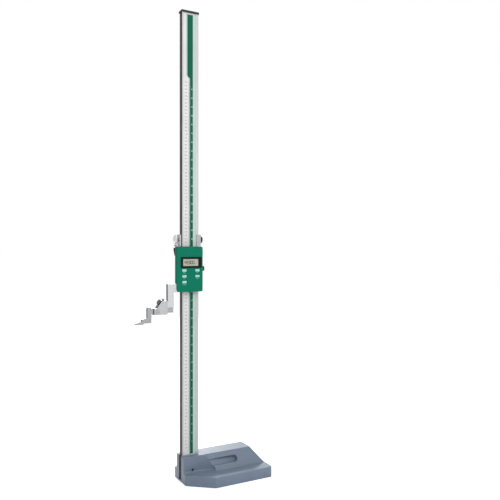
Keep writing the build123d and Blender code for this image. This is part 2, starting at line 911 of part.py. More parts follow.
def rear_plate():
    """Flat back of the display housing, screwed to the front shell."""
    plate = extrude(display_outline(frame_face, rear_plate_inset), amount=rear_plate_thickness)
    plate -= block(
        (display_left - over, arm_tab_end + slide_gap),
        (display_back - over, frame_face + over),
        (display_bottom - over, arm_tab_top + slide_gap),
    )
    low = display_back - over
    high = frame_face + over
    for x, z in housing_screw_places():
        plate -= rod_y(housing_screw_radius + fit_gap, low, high, x, z)
        head_low = frame_face - housing_screw_head_height
        plate -= rod_y(housing_screw_head_radius + fit_gap, head_low, high, x, z)
    for x, z in plate_screw_places():
        plate -= rod_y(housing_screw_radius + fit_gap, low, high, x, z)
        head_high = display_back + housing_screw_head_height
        plate -= rod_y(housing_screw_head_radius + fit_gap, low, head_high, x, z)
    return plate


def plate_screws():
    """Screws from inside the housing into the slider frame."""
    screw = cap_screw(
        housing_screw_radius,
        plate_screw_length,
        housing_screw_head_radius,
        housing_screw_head_height,
    )
    y = display_back + housing_screw_head_height
    places = [
        Plane(origin=(x, y, z), x_dir=(1, 0, 0), z_dir=(0, -1, 0)) * screw
        for x, z in plate_screw_places()
    ]
    return Compound(children=places)


def housing_screws():
    """Four screws that join the rear plate to the front shell."""
    screw = cap_screw(
        housing_screw_radius,
        housing_screw_length,
        housing_screw_head_radius,
        housing_screw_head_height,
    )
    y = frame_face - housing_screw_head_height
    places = [
        Plane(origin=(x, y, z), x_dir=(1, 0, 0), z_dir=(0, 1, 0)) * screw
        for x, z in housing_screw_places()
    ]
    return Compound(children=places)


def display_bezel():
    """Dark frame round the display, with a step for its glass."""
    low = bezel_z - bezel_height / 2
    face = display_face + bezel_thickness / 2
    frame = block((bezel_left, bezel_right), (face - bezel_thickness, face), (low, low + bezel_height))
    frame = fillet(frame.edges().filter_by(Axis.Y), bezel_corner)
    window = block(
        (glass_left, glass_left + glass_width),
        (face - bezel_thickness - over, face + over),
        (bezel_z - glass_height / 2, bezel_z + glass_height / 2),
    )
    return frame - window


def display_glass():
    """Clear window in the bezel."""
    face = display_face + bezel_thickness / 2
    return block(
        (glass_left + fit_gap / 2, glass_left + glass_width - fit_gap / 2),
        (face - glass_thickness, face),
        (bezel_z - glass_height / 2 + fit_gap / 2, bezel_z + glass_height / 2 - fit_gap / 2),
    )


def display_panel():
    """Liquid crystal panel behind the glass."""
    face = display_face + bezel_thickness / 2 + slide_gap
    return block(
        (glass_left - panel_margin, glass_left + glass_width + panel_margin),
        (face, face + panel_thickness),
        (
            bezel_z - glass_height / 2 - panel_margin,
            bezel_z + glass_height / 2 + panel_margin,
        ),
    )


def circuit_board():
    """Board that carries the panel and the key contacts."""
    inset = display_wall + board_margin
    board = block(
        (display_left + inset, display_right - inset),
        (board_back, display_back),
        (display_bottom + board_lower_edge, display_top - inset),
    )
    for x, z in housing_screw_places():
        board -= rod_y(housing_post_radius + fit_gap, board_back - over, display_back + over, x, z)
    # Stand-offs under the panel.
    face = display_face + bezel_thickness / 2 + slide_gap + panel_thickness
    for x in (glass_left, glass_left + glass_width):
        board += rod_y(dome_radius, face, board_back + join, x, bezel_z)
    # Contact domes under the keys.
    dome_face = display_inner_face + key_flange_thickness + key_travel + slide_gap
    for x, z in key_places():
        board += rod_y(dome_radius, dome_face, board_back + join, x, z)
    return board


def sensor_board():
    """Reading board in the frame's window, close to the scale strip."""
    middle_x = strip_left + strip_width / 2
    back = -beam_face - slide_gap - sensor_ledge_thickness
    return block(
        (middle_x - sensor_width / 2, middle_x + sensor_width / 2),
        (back - board_thickness, back),
        (frame_middle - sensor_height / 2, frame_middle + sensor_height / 2),
    )


def key(x, z):
    """Key with a flange that keeps it behind the shell."""
    cap = block(
        (x - key_width / 2, x + key_width / 2),
        (display_face - key_stand_out, display_inner_face + key_flange_thickness),
        (z - key_height / 2, z + key_height / 2),
    )
    cap = fillet(cap.edges().filter_by(Axis.Y), key_height * 0.3)
    cap = fillet(cap.faces().sort_by(Axis.Y)[0].edges(), key_stand_out * 0.5)
    flange = block(
        (x - key_width / 2 - key_flange, x + key_width / 2 + key_flange),
        (display_inner_face + slide_gap / 3, display_inner_face + key_flange_thickness),
        (z - key_height / 2 - key_flange, z + key_height / 2 + key_flange),
    )
    return cap + flange


def battery_tray():
    """Tray that slides out of the housing's lower edge with the cell."""
    left, right = tray_limits()
    back = display_back - slide_gap
    tray = block(
        (left, right), (back - tray_thickness, back), (display_bottom, display_bottom + tray_height)
    )
    middle = (left + right) / 2
    cell_z = display_bottom + tray_height - cell_radius - tray_lip
    tray -= rod_y(
        cell_radius + fit_gap, back - tray_thickness - over, back - tray_lip, middle, cell_z
    )
    return tray


def coin_cell():
    """Button cell in the tray."""
    left, right = tray_limits()
    back = display_back - slide_gap - tray_lip
    cell_z = display_bottom + tray_height - cell_radius - tray_lip
    cell = rod_y(cell_radius, back - cell_thickness, back, (left + right) / 2, cell_z)
    return chamfer(cell.edges().group_by(Axis.Y)[0], cell_edge)


def port_cover():
    """Plug that closes the data port."""
    port_z = display_top - port_drop
    middle_y = (display_face + display_back) / 2
    plug = block(
        (display_right - port_depth, display_right + port_head),
        (middle_y - port_height / 2, middle_y + port_height / 2),
        (port_z - port_width / 2, port_z + port_width / 2),
    )
    return fillet(plug.edges().filter_by(Axis.X), port_height * 0.25)


# ------------------------------------------------------------------ arm and scriber
def arm_screw_places():
    """Middles of the arm's screws, in X and Z."""
    x = (frame_left + arm_tab_end) / 2
    z = (frame_bottom + arm_tab_top) / 2
    return [(x, z - arm_screw_spacing / 2), (x, z + arm_screw_spacing / 2)]


def thumb_direction():
    """Direction of the thumb screw's axis in X and Z, pointing away from the nose."""
    tilt = math.radians(thumb_tilt)
    return -math.cos(tilt), math.sin(tilt)


def nose_slant(offset):
    """Two ends of the nose's slanting face, moved outwards by offset."""
    drop = nose_chamfer / math.tan(math.radians(thumb_tilt))
    out_x, out_z = thumb_direction()
    upper = (nose_left + nose_chamfer + out_x * offset, nose_top + out_z * offset)
    lower = (nose_left + out_x * offset, nose_top - drop + out_z * offset)
    return upper, lower


def thumb_plane(distance):
    """Plane across the thumb screw's axis at a distance from the nose's slanting face."""
    upper, lower = nose_slant(distance)
    out_x, out_z = thumb_direction()
    middle = ((upper[0] + lower[0]) / 2, arm_middle_y, (upper[1] + lower[1]) / 2)
    return Plane(origin=middle, x_dir=(0, 1, 0), z_dir=(out_x, 0, out_z))


def measuring_arm():
    """Bent arm from the slider's face down to the nose that carries the scriber."""
    upper, lower = nose_slant(0)
    outline = [
        (arm_tab_end, display_bottom),
        (arm_tab_end, arm_tab_top),
        (arm_left, arm_tab_top),
        (arm_left, nose_top),
        upper,
        lower,
        (nose_left, nose_bottom),
        (arm_right, nose_bottom),
        (arm_right, display_bottom),
    ]
    arm = prism_y(outline, arm_face, frame_face)
    inner_corners = [
        e
        for e in arm.edges().filter_by(Axis.Y)
        if (abs(e.center().X - arm_right) < same and abs(e.center().Z - display_bottom) < same)
        or (abs(e.center().X - arm_left) < same and abs(e.center().Z - nose_top) < same)
    ]
    arm = fillet(inner_corners, arm_fillet)
    arm -= block(
        (display_left + display_wall + arm_step_gap, arm_tab_end + over),
        (arm_face - over, arm_face + arm_tab_step),
        (display_bottom - over, arm_tab_top + over),
    )
    for x, z in arm_screw_places():
        face = arm_face + arm_tab_step
        head_back = face + arm_screw_head_height
        arm -= rod_y(arm_screw_radius + fit_gap, face - over, frame_face + over, x, z)
        arm -= rod_y(arm_screw_head_radius + fit_gap, face - over, head_back, x, z)
    return arm


def arm_screws():
    """Two socket screws that hold the arm on the slider frame."""
    screw = cap_screw(
        arm_screw_radius, arm_screw_length, arm_screw_head_radius, arm_screw_head_height
    )
    y = arm_face + arm_tab_step + arm_screw_head_height
    places = [
        Plane(origin=(x, y, z), x_dir=(1, 0, 0), z_dir=(0, -1, 0)) * screw
        for x, z in arm_screw_places()
    ]
    return Compound(children=places)


def scriber_clamp():
    """Stirrup round the arm's nose and the scriber's shank."""
    offset = fit_gap + clamp_wall
    upper, lower = nose_slant(offset)
    slope = (upper[1] - lower[1]) / (upper[0] - lower[0])
    low = shank_bottom - slide_gap - clamp_wall
    high = nose_top + offset
    step = nose_bottom - slide_gap
    left = clamp_right - clamp_length
    outline = [
        (clamp_right, low),
        (clamp_right, high),
        (upper[0] + (high - upper[1]) / slope, high),
        (upper[0] + (step - upper[1]) / slope, step),
        (left, step),
        (left, low),
    ]
    half = arm_thickness / 2 + offset
    body = prism_y(outline, arm_middle_y - half, arm_middle_y + half)
    body = chamfer(body.edges().filter_by(Axis.X).group_by(Axis.Z)[0], plate_chamfer)
    upper, lower = nose_slant(fit_gap)
    seat = prism_y(
        [
            (clamp_right + over, nose_bottom - slide_gap),
            (clamp_right + over, nose_top + fit_gap),
            (upper[0], nose_top + fit_gap),
            upper,
            lower,
            (nose_left - fit_gap, lower[1]),
            (nose_left - fit_gap, nose_bottom - slide_gap),
        ],
        arm_face - fit_gap,
        frame_face + fit_gap,
    )
    channel_half = scriber_thickness / 2 + slide_gap
    channel = block(
        (left - over, clamp_right + over),
        (arm_middle_y - channel_half, arm_middle_y + channel_half),
        (shank_bottom - slide_gap, nose_bottom),
    )
    body = body - seat - channel
    bore = Pos(0, 0, offset / 2) * Cylinder(thumb_screw_radius + running_gap, 2 * offset)
    body -= thumb_plane(offset / 2) * bore
    body -= rod_z(lock_radius, nose_top, high + over, clamp_right - lock_inset, arm_middle_y)
    return body


def thumb_screw():
    """Knurled screw that presses the stirrup against the arm's nose."""
    tip = slide_gap
    head_start = fit_gap + clamp_wall + slide_gap
    shank_end = head_start + join
    shank = Pos(0, 0, (tip + shank_end) / 2) * Cylinder(thumb_screw_radius, shank_end - tip)
    head = Pos(0, 0, head_start + thumb_height / 2) * Cylinder(thumb_radius, thumb_height)
    head = chamfer(head.edges(), thumb_edge)
    return thumb_plane(0) * (shank + head)


def lock_screw():
    """Small headed screw that locks the stirrup from above."""
    start = nose_top + fit_gap + clamp_wall
    x = clamp_right - lock_inset
    head = rod_z(lock_head_radius, start, start + lock_head_height, x, arm_middle_y)
    head = chamfer(head.edges().group_by(Axis.Z)[-1], lock_edge)
    socket = hex_socket(lock_radius, lock_head_height / 2)
    head -= Pos(x, arm_middle_y, start + lock_head_height) * socket
    return head + rod_z(lock_radius, nose_top, start + join, x, arm_middle_y)


def scriber():
    """Shank, offset leg and foot of the scriber."""
    leg_right = leg_left + leg_width
    shank_top = shank_bottom + shank_height
    foot_bottom = reading + foot_clearance
    foot_top = foot_bottom + foot_height
    outline = [
        (shank_right, shank_bottom),
        (shank_right, shank_top),
        (leg_right, shank_top),
        (leg_right - leg_rise, shank_top + leg_rise),
        (leg_left + leg_rise, shank_top + leg_rise),
        (leg_left, shank_top),
        (leg_left, foot_top),
        (foot_left, foot_top - leg_rise),
        (foot_left, foot_bottom),
        (leg_right, foot_bottom),
        (leg_right, shank_bottom),
    ]
    low_y = arm_middle_y - scriber_thickness / 2
    return prism_y(outline, low_y, low_y + scriber_thickness)


def scriber_tip():
    """Carbide tip brazed under the scriber's foot and ground to a narrow edge."""
    root = foot_left + tip_length
    seat = reading + foot_clearance
    outline = [
        (tip_left, reading),
        (tip_left, reading + tip_end_height),
        (foot_left, seat + tip_root_height),
        (foot_left, seat),
        (root, seat),
        (root, reading),
    ]
    half = scriber_thickness / 2
    body = prism_y(outline, arm_middle_y - half, arm_middle_y + half)
    plan = mirrored([(tip_left, -tip_end_width / 2), (foot_left, -half), (root, -half)])
    return body & Pos(0, arm_middle_y, 0) * plate_xy(plan, reading - over, reading + foot_height)


nodes = {
    "base_casting": base_casting(),
    "column_set_screws": beam_screws(),
    "beam": beam(),
    "scale_strip": scale_strip(),
    "top_cap": top_cap(),
    "cap_screws": cap_screws(),
    "carriage_block": carriage_block(),
    "clamp_pad": pad(-1),
    "drag_pad": pad(1),
    "carriage_clamp_screw": carriage_clamp_screw(),
    "drag_screw": drag_screw(),
    "fine_adjust_screw": fine_adjust_screw(),
    "fine_adjust_knob": fine_adjust_knob(),
    "screw_clip": screw_clip(),
    "slider_frame": slider_frame(),
    "slider_cover": slider_cover(),
    "cover_screws": cover_screws(),
    "slider_gib": slider_gib(),
    "gib_screws": gib_screws(),
    "slider_clamp_screw": slider_clamp_screw(),
    "housing_shell": front_shell(),
    "housing_rear_plate": rear_plate(),
    "housing_screws": housing_screws(),
    "plate_screws": plate_screws(),
    "display_bezel": display_bezel(),
    "display_glass": display_glass(),
    "display_panel": display_panel(),
    "circuit_board": circuit_board(),
    "sensor_board": sensor_board(),
    "battery_tray": battery_tray(),
    "coin_cell": coin_cell(),
    "port_cover": port_cover(),
    "measuring_arm": measuring_arm(),
    "arm_screws": arm_screws(),
    "scriber_clamp": scriber_clamp(),
    "thumb_screw": thumb_screw(),
    "lock_screw": lock_screw(),
    "scriber": scriber(),
    "scriber_tip": scriber_tip(),
}
key_names = ("key_zero", "key_unit", "key_power", "key_preset", "key_hold")
for name, (key_x, key_z) in zip(key_names, key_places()):
    nodes[name] = key(key_x, key_z)
for name, shape in nodes.items():
    write(name, shape)
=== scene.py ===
import json
import logging
import math
from dataclasses import dataclass, field
from enum import Enum
from typing import Dict, List, Optional, Sequence, Tuple

import bmesh
import bpy
from mathutils import Matrix, Vector


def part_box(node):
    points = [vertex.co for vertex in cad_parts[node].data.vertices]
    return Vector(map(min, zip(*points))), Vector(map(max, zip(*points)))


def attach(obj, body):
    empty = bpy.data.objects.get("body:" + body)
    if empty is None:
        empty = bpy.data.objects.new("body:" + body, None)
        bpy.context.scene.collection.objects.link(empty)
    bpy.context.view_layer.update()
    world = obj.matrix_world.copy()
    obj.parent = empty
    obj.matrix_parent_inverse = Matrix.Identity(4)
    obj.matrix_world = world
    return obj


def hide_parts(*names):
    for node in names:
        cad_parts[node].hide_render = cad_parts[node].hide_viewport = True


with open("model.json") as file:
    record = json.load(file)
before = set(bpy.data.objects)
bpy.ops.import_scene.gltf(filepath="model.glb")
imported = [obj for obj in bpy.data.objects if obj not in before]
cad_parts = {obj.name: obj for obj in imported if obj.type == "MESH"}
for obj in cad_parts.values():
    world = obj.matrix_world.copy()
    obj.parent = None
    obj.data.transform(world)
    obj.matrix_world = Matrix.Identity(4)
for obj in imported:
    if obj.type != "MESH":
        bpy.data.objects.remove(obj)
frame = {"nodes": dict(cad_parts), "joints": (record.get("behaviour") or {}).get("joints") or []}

log = logging.getLogger("height_gauge")

MM = 0.001
Point = Tuple[float, float, float]
Pair = Tuple[float, float]
Color = Tuple[float, float, float]
Tree = bpy.types.NodeTree
Node = bpy.types.Node
Socket = bpy.types.NodeSocket
BMesh = bmesh.types.BMesh

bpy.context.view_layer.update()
WHITE = (1.0, 1.0, 1.0, 1.0)
WELD = 1e-7  # distance under which vertices are one, in metres
FIGURE_SHARE = 0.73  # height of a figure as a share of its font's size
SHALLOW = math.radians(32)  # edges below this angle are shaded smooth
VARIATION = (0.3, 0.7)  # usual range of the slow noise
SHADES = (0.94, 1.06)  # brightness at the ends of that range
LEAST_ROUGHNESS = 0.02
SCRATCH_ROUGHNESS = 0.2
WEAR_GAIN = 2.0
PAINTED_SHADE_SHARE = 0.18  # brightness of the painted corner shade as a share of the clean colour
DUST_COLOR = (0.6, 0.6, 0.58)
MIX_BELOW, MIX_ABOVE, MIX_RESULT = 6, 7, 2  # colour sockets of the Mix node


class Marks(Enum):
    """Direction in which a finish's tool marks run, as the scale of its coordinates."""

    NONE = (1.0, 1.0, 1.0)
    ALONG_X = (0.02, 1.0, 1.0)
    ALONG_Y = (1.0, 0.02, 1.0)
    ALONG_Z = (1.0, 1.0, 0.02)


class Sides(Enum):
    """Faces that have the second colour: axis, operation and limit for their normal. On the flanks that
    colour is painted shade.
    """

    # flanks facing either way along X, darkened as painted shade
    FLANKS = ("X", "ABSOLUTE", 0.6)
    UNDERSIDE = ("Z", "MULTIPLY", 0.9)


@dataclass(frozen=True)
class Finish:
    """One surface finish.

    Args:
        name: Name of the material.
        color: Base colour, linear.
        metallic: Metallic share from 0 to 1.
        roughness: Middle of the roughness range.
        spread: How far the roughness moves about its middle.
        specular: Specular level of the shader.
        grain: Scale of the fine structure, in cycles per metre.
        bump: Height of the fine structure, in metres.
        marks: Direction of the tool marks.
        lumps: Height of the slow unevenness, in metres.
        scratches: Strength of the fine scratches from 0 to 1.
        worn: Colour of the worn edges.
        wear: Strength of the edge wear from 0 to 1.
        dust: Strength of the dust on upward faces from 0 to 1.
        grime: Strength of the painted shade in corners and hollows from 0 to 1.
        edge: Radius of the softened edges, in metres.
        coat: Weight of the clear coat.
        sides: Which faces have the second colour.
        side_color: That second colour, linear; the ground underside's own colour, and on the flanks a
            painted shade.
        alpha: Opacity.
    """

    name: str
    color: Color
    metallic: float = 0.0
    roughness: float = 0.5
    spread: float = 0.08
    specular: float = 0.5
    grain: float = 900.0
    bump: float = 0.00001
    marks: Marks = Marks.NONE
    lumps: float = 0.0
    scratches: float = 0.0
    worn: Color = (0.6, 0.6, 0.6)
    wear: float = 0.0
    dust: float = 0.0
    grime: float = 0.0
    edge: float = 0.0003
    coat: float = 0.0
    sides: Optional[Sides] = None
    side_color: Color = (0.1, 0.1, 0.1)
    alpha: float = 1.0


CASTING = Finish(
    "casting enamel", (0.2, 0.258, 0.345), roughness=0.45, specular=0.4, grain=260.0, bump=0.00012,
    lumps=0.0005, scratches=0.2, worn=(0.09, 0.11, 0.14), wear=0.35, dust=0.1, grime=0.75, edge=0.0012,
    coat=0.08, sides=Sides.UNDERSIDE, side_color=(0.3, 0.3, 0.31),
)
# The flanks of the column, arm, clamp and scriber get a dark colour as painted shade.
COLUMN = Finish(
    "ground column", (0.56, 0.56, 0.57), metallic=0.3, roughness=0.4, specular=0.05, grain=2500.0,
    bump=0.000006, marks=Marks.ALONG_Z, scratches=0.3, wear=0.2, sides=Sides.FLANKS,
    side_color=(0.045, 0.046, 0.047),
)
GROUND = Finish(
    "ground steel", (0.34, 0.345, 0.36), metallic=0.8, roughness=0.34, grain=2500.0, bump=0.000008,
    marks=Marks.ALONG_Z, scratches=0.4, wear=0.25, grime=0.3,
)
ARM = Finish(
    "satin arm steel", (0.57, 0.59, 0.6), metallic=0.6, roughness=0.4, grain=2200.0, marks=Marks.ALONG_Z,
    scratches=0.4, wear=0.3, grime=0.3, sides=Sides.FLANKS, side_color=(0.05, 0.055, 0.055),
)
CLAMP = Finish(
    "clamp steel", (0.46, 0.475, 0.485), metallic=0.6, roughness=0.42, grain=1800.0, marks=Marks.ALONG_X,
    scratches=0.4, wear=0.35, grime=0.5, sides=Sides.FLANKS, side_color=(0.09, 0.095, 0.097),
)
SCRIBER = Finish(
    "scriber steel", (0.37, 0.375, 0.38), metallic=0.65, roughness=0.36, grain=2200.0,
    marks=Marks.ALONG_X, scratches=0.4, wear=0.3, grime=0.2, sides=Sides.FLANKS,
    side_color=(0.03, 0.031, 0.032),
)
CARBIDE = Finish(
    "carbide", (0.4, 0.405, 0.415), metallic=0.7, roughness=0.28, grain=3000.0, bump=0.000004,
    marks=Marks.ALONG_X, wear=0.1,
)
BRIGHT = Finish(
    "bright turned steel", (0.66, 0.66, 0.67), metallic=0.85, roughness=0.26, grain=1600.0,
    bump=0.000008, scratches=0.3, wear=0.1, grime=0.6,
)
OXIDE = Finish(
    "black oxide", (0.035, 0.036, 0.038), metallic=0.5, roughness=0.4, worn=(0.22, 0.22, 0.23),
    wear=0.35,
)
GREY_SCREW = Finish(
    "grey screw", (0.26, 0.265, 0.27), metallic=0.6, roughness=0.38, worn=(0.4, 0.4, 0.41), wear=0.35,
    grime=0.3,
)
DARK_STEEL = Finish(
    "dark knurled steel", (0.12, 0.123, 0.126), metallic=0.7, roughness=0.4, worn=(0.35, 0.35, 0.36),
    wear=0.5, grime=0.4,
)
BLACK = Finish(
    "satin black paint", (0.012, 0.012, 0.014), roughness=0.42, specular=0.35, grain=700.0, bump=0.00002,
    worn=(0.12, 0.12, 0.13), wear=0.25, dust=0.06,
)
DARK_KNOB = Finish(
    "dark knob", (0.02, 0.07, 0.055), roughness=0.46, specular=0.3, grain=800.0, bump=0.00002,
    worn=(0.16, 0.18, 0.17), wear=0.3,
)
BRASS = Finish(
    "machined brass", (0.58, 0.4, 0.16), metallic=0.95, roughness=0.32, grain=1500.0,
    marks=Marks.ALONG_Z, scratches=0.4, wear=0.2, worn=(0.75, 0.6, 0.3), bump=0.00002,
)
GREEN = Finish(
    "green housing", (0.001, 0.205, 0.12), roughness=0.45, specular=0.1, grain=1500.0, bump=0.00003,
    scratches=0.12, worn=(0.001, 0.075, 0.045), wear=0.5, dust=0.03, grime=0.5, edge=0.0014,
)
DARK_PLASTIC = Finish(
    "dark moulding", (0.016, 0.017, 0.018), specular=0.3, grain=1500.0, bump=0.00003, scratches=0.15,
    worn=(0.06, 0.06, 0.065), wear=0.2,
)
BEZEL = Finish(
    "gloss bezel", (0.002, 0.012, 0.008), roughness=0.3, specular=0.12, grain=500.0, bump=0.000004,
    worn=(0.03, 0.03, 0.03), wear=0.1,
)
KEY = Finish(
    "pale key", (0.42, 0.78, 0.68), roughness=0.42, specular=0.3, grain=1600.0, bump=0.00002,
    worn=(0.7, 0.9, 0.85), wear=0.15, grime=0.4,
)
GLASS = Finish(
    "display window", (0.9, 0.93, 0.9), roughness=0.05, spread=0.02, specular=0.3, grain=300.0, bump=0.0,
    alpha=0.06,
)
PANEL = Finish("display ground", (0.52, 0.53, 0.4), roughness=0.45, specular=0.2, grain=2200.0, grime=0.4)
BOARD = Finish("solder mask", (0.012, 0.12, 0.05), roughness=0.35, grain=1200.0, coat=0.3, bump=0.00002)
RUBBER = Finish(
    "port rubber", (0.018, 0.018, 0.019), roughness=0.75, specular=0.2, grain=1400.0, bump=0.00002,
)
STRIP = Finish("strip ground", (0.84, 0.83, 0.84), specular=0.3, scratches=0.1)
STRIP_MARGIN = Finish("strip margin", (0.55, 0.74, 0.67), specular=0.3)
STRIP_TINT = Finish("strip tint", (0.45, 0.64, 0.57), specular=0.3)
STRIP_DARK = Finish("strip dark band", (0.003, 0.12, 0.066), specular=0.15)
INK = Finish("ink", (0.06, 0.13, 0.1), specular=0.2)
PALE_INK = Finish("pale ink", (0.52, 0.7, 0.62), specular=0.2)
KEY_INK = Finish("key lettering", (0.45, 0.75, 0.68), specular=0.2)
SEGMENT = Finish("display segment", (0.016, 0.008, 0.006), specular=0.1)


def feed(tree: Tree, node: Node, inputs: Dict) -> None:
    """Feeds a node.

    Args:
        tree: The node's tree.
        node: The node.
        inputs: Socket or value for each input, by the input's name or number.
    """
    for label, value in inputs.items():
        if isinstance(value, Socket):
            tree.links.new(value, node.inputs[label])
        else:
            node.inputs[label].default_value = value


def add_node(tree: Tree, kind: str, inputs: Dict, **settings: object) -> Node:
    """Adds a shader node.

    Args:
        tree: Tree to add to.
        kind: Type of the node.
        inputs: Socket or value for each input, by the input's name or number.
        settings: Properties of the node.

    Returns:
        The node.
    """
    node = tree.nodes.new(kind)
    for name, value in settings.items():
        setattr(node, name, value)
    feed(tree, node, inputs)
    return node


def add_math(tree: Tree, operation: str, *values: object, clamp: bool = False) -> Socket:
    """Adds a calculation.

    Args:
        tree: Tree to add to.
        operation: Name of the operation.
        values: Socket or number for each operand.
        clamp: Whether the result is kept from 0 to 1.

    Returns:
        Socket of the result.
    """
    operands = dict(enumerate(values))
    node = add_node(tree, "ShaderNodeMath", operands, operation=operation, use_clamp=clamp)
    return node.outputs["Value"]


def add_range(tree: Tree, value: Socket, old: Pair, new: Pair = (0.0, 1.0), **settings: str) -> Socket:
    """Moves a value from one range to another.

    Args:
        tree: Tree to add to.
        value: The value.
        old: Ends of the range that it comes from.
        new: Ends of the range that it goes to.
        settings: Properties of the node.

    Returns:
        Socket of the result.
    """
    ends = {"From Min": old[0], "From Max": old[1], "To Min": new[0], "To Max": new[1]}
    node = add_node(tree, "ShaderNodeMapRange", {"Value": value, **ends}, **settings)
    return node.outputs["Result"]


def add_noise(
    tree: Tree, vector: Socket, scale: object, detail: float, roughness: float = 0.5
) -> Socket:
    """Adds a noise texture.

    Args:
        tree: Tree to add to.
        vector: Its coordinates.
        scale: Cycles per metre, a socket or a number.
        detail: Octaves of the noise.
        roughness: Strength of each octave as a share of the one before.

    Returns:
        Socket of the noise.
    """
    inputs = {"Vector": vector, "Scale": scale, "Detail": detail, "Roughness": roughness}
    return add_node(tree, "ShaderNodeTexNoise", inputs).outputs["Fac"]


class Effects:
    """Shared node groups, each built once."""

    def __init__(self) -> None:
        """Builds the groups."""
        self.grain = self._grain()
        self.edges = self._edges()
        self.dust = self._dust()
        self.grime = self._grime()
        self.scratches = self._scratches()

    @staticmethod
    def _group(
        name: str, inputs: Dict[str, Optional[float]], outputs: Sequence[str] = ("Mask",)
    ) -> Tuple[Tree, Dict[str, Socket]]:
        """Makes an empty node group.

        Args:
            name: Name of the group.
            inputs: Default of each input, or None for a vector.
            outputs: Names of the outputs. Normal is a vector, and the rest are numbers.

        Returns:
            The tree and the sockets that bring in its inputs.
        """
        tree = bpy.data.node_groups.new(name, "ShaderNodeTree")
        for label, default in inputs.items():
            kind = "NodeSocketVector" if default is None else "NodeSocketFloat"
            socket = tree.interface.new_socket(label, in_out="INPUT", socket_type=kind)
            if default is not None:
                socket.default_value = default
        for label in outputs:
            kind = "NodeSocketVector" if label == "Normal" else "NodeSocketFloat"
            tree.interface.new_socket(label, in_out="OUTPUT", socket_type=kind)
        return tree, tree.nodes.new("NodeGroupInput").outputs

    @staticmethod
    def _masked(tree: Tree, mask: Socket, amount: Socket) -> Tree:
        """Ends a group whose output is a mask.

        Args:
            tree: The group's tree.
            mask: The full mask.
            amount: Strength of the mask from 0 to 1.

        Returns:
            The tree.
        """
        weaker = add_math(tree, "MULTIPLY", mask, amount, clamp=True)
        add_node(tree, "NodeGroupOutput", {"Mask": weaker})
        return tree

    def _grain(self) -> Tree:
        """Fine structure, from stretched coordinates, and a slow variation."""
        tree, ins = self._group(
            "Surface Grain", {"Vector": None, "Scale": 900.0}, ("Height", "Variation")
        )
        fine = add_noise(tree, ins["Vector"], ins["Scale"], 6.0, roughness=0.62)
        slow = add_noise(tree, ins["Vector"], 14.0, 4.0)
        add_node(tree, "NodeGroupOutput", {"Height": fine, "Variation": slow})
        return tree

    def _edges(self) -> Tree:
        """Softened normals at edges and a mask of where an edge is worn."""
        inputs = {"Radius": 0.0003, "Break Up": 0.5}
        tree, ins = self._group("Edge Wear", inputs, ("Normal", "Mask"))
        bevel = add_node(tree, "ShaderNodeBevel", {"Radius": ins["Radius"]}, samples=4)
        soft = bevel.outputs["Normal"]
        flat = tree.nodes.new("ShaderNodeNewGeometry").outputs["Normal"]
        dot = add_node(
            tree, "ShaderNodeVectorMath", {0: soft, 1: flat}, operation="DOT_PRODUCT"
        )
        turned = add_range(tree, dot.outputs["Value"], (0.995, 0.8))
        mask = add_math(tree, "MULTIPLY", turned, ins["Break Up"], clamp=True)
        add_node(tree, "NodeGroupOutput", {"Normal": soft, "Mask": mask})
        return tree

    def _dust(self) -> Tree:
        """Mask of dust that settles on faces that look up."""
        tree, ins = self._group("Settled Dust", {"Vector": None, "Amount": 0.1})
        normal = tree.nodes.new("ShaderNodeNewGeometry").outputs["Normal"]
        upward = add_node(tree, "ShaderNodeSeparateXYZ", {"Vector": normal}).outputs["Z"]
        noise = add_noise(tree, ins["Vector"], 60.0, 8.0)
        facing = add_math(tree, "MULTIPLY", upward, noise, clamp=True)
        return self._masked(tree, facing, ins["Amount"])

    def _grime(self) -> Tree:
        """Mask of painted shade in corners and hollows, from ambient occlusion broken up by noise."""
        inputs = {"Vector": None, "Amount": 0.5, "Reach": 0.006}
        tree, ins = self._group("Painted Corner Shade", inputs)
        shade = add_node(
            tree, "ShaderNodeAmbientOcclusion", {"Distance": ins["Reach"]}, samples=8,
            only_local=True,
        )
        closed = add_range(tree, shade.outputs["AO"], (0.95, 0.35))
        patchy = add_range(tree, add_noise(tree, ins["Vector"], 90.0, 5.0), (0.1, 0.5))
        hollow = add_math(tree, "MULTIPLY", closed, patchy, clamp=True)
        return self._masked(tree, hollow, ins["Amount"])

    def _scratches(self) -> Tree:
        """Mask of fine scratches in two crossing directions."""
        tree, ins = self._group("Fine Scratches", {"Vector": None, "Amount": 0.3})
        lines = []
        for turn in (0.5, -0.9):
            inputs = {"Rotation": (turn, turn * 0.6, turn), "Scale": (1.0, 0.04, 1.0)}
            inputs["Vector"] = ins["Vector"]
            place = add_node(tree, "ShaderNodeMapping", inputs)
            noise = add_noise(tree, place.outputs["Vector"], 420.0, 2.0)
            lines.append(add_range(tree, noise, (0.66, 0.72)))
        return self._masked(tree, add_math(tree, "MAXIMUM", *lines), ins["Amount"])


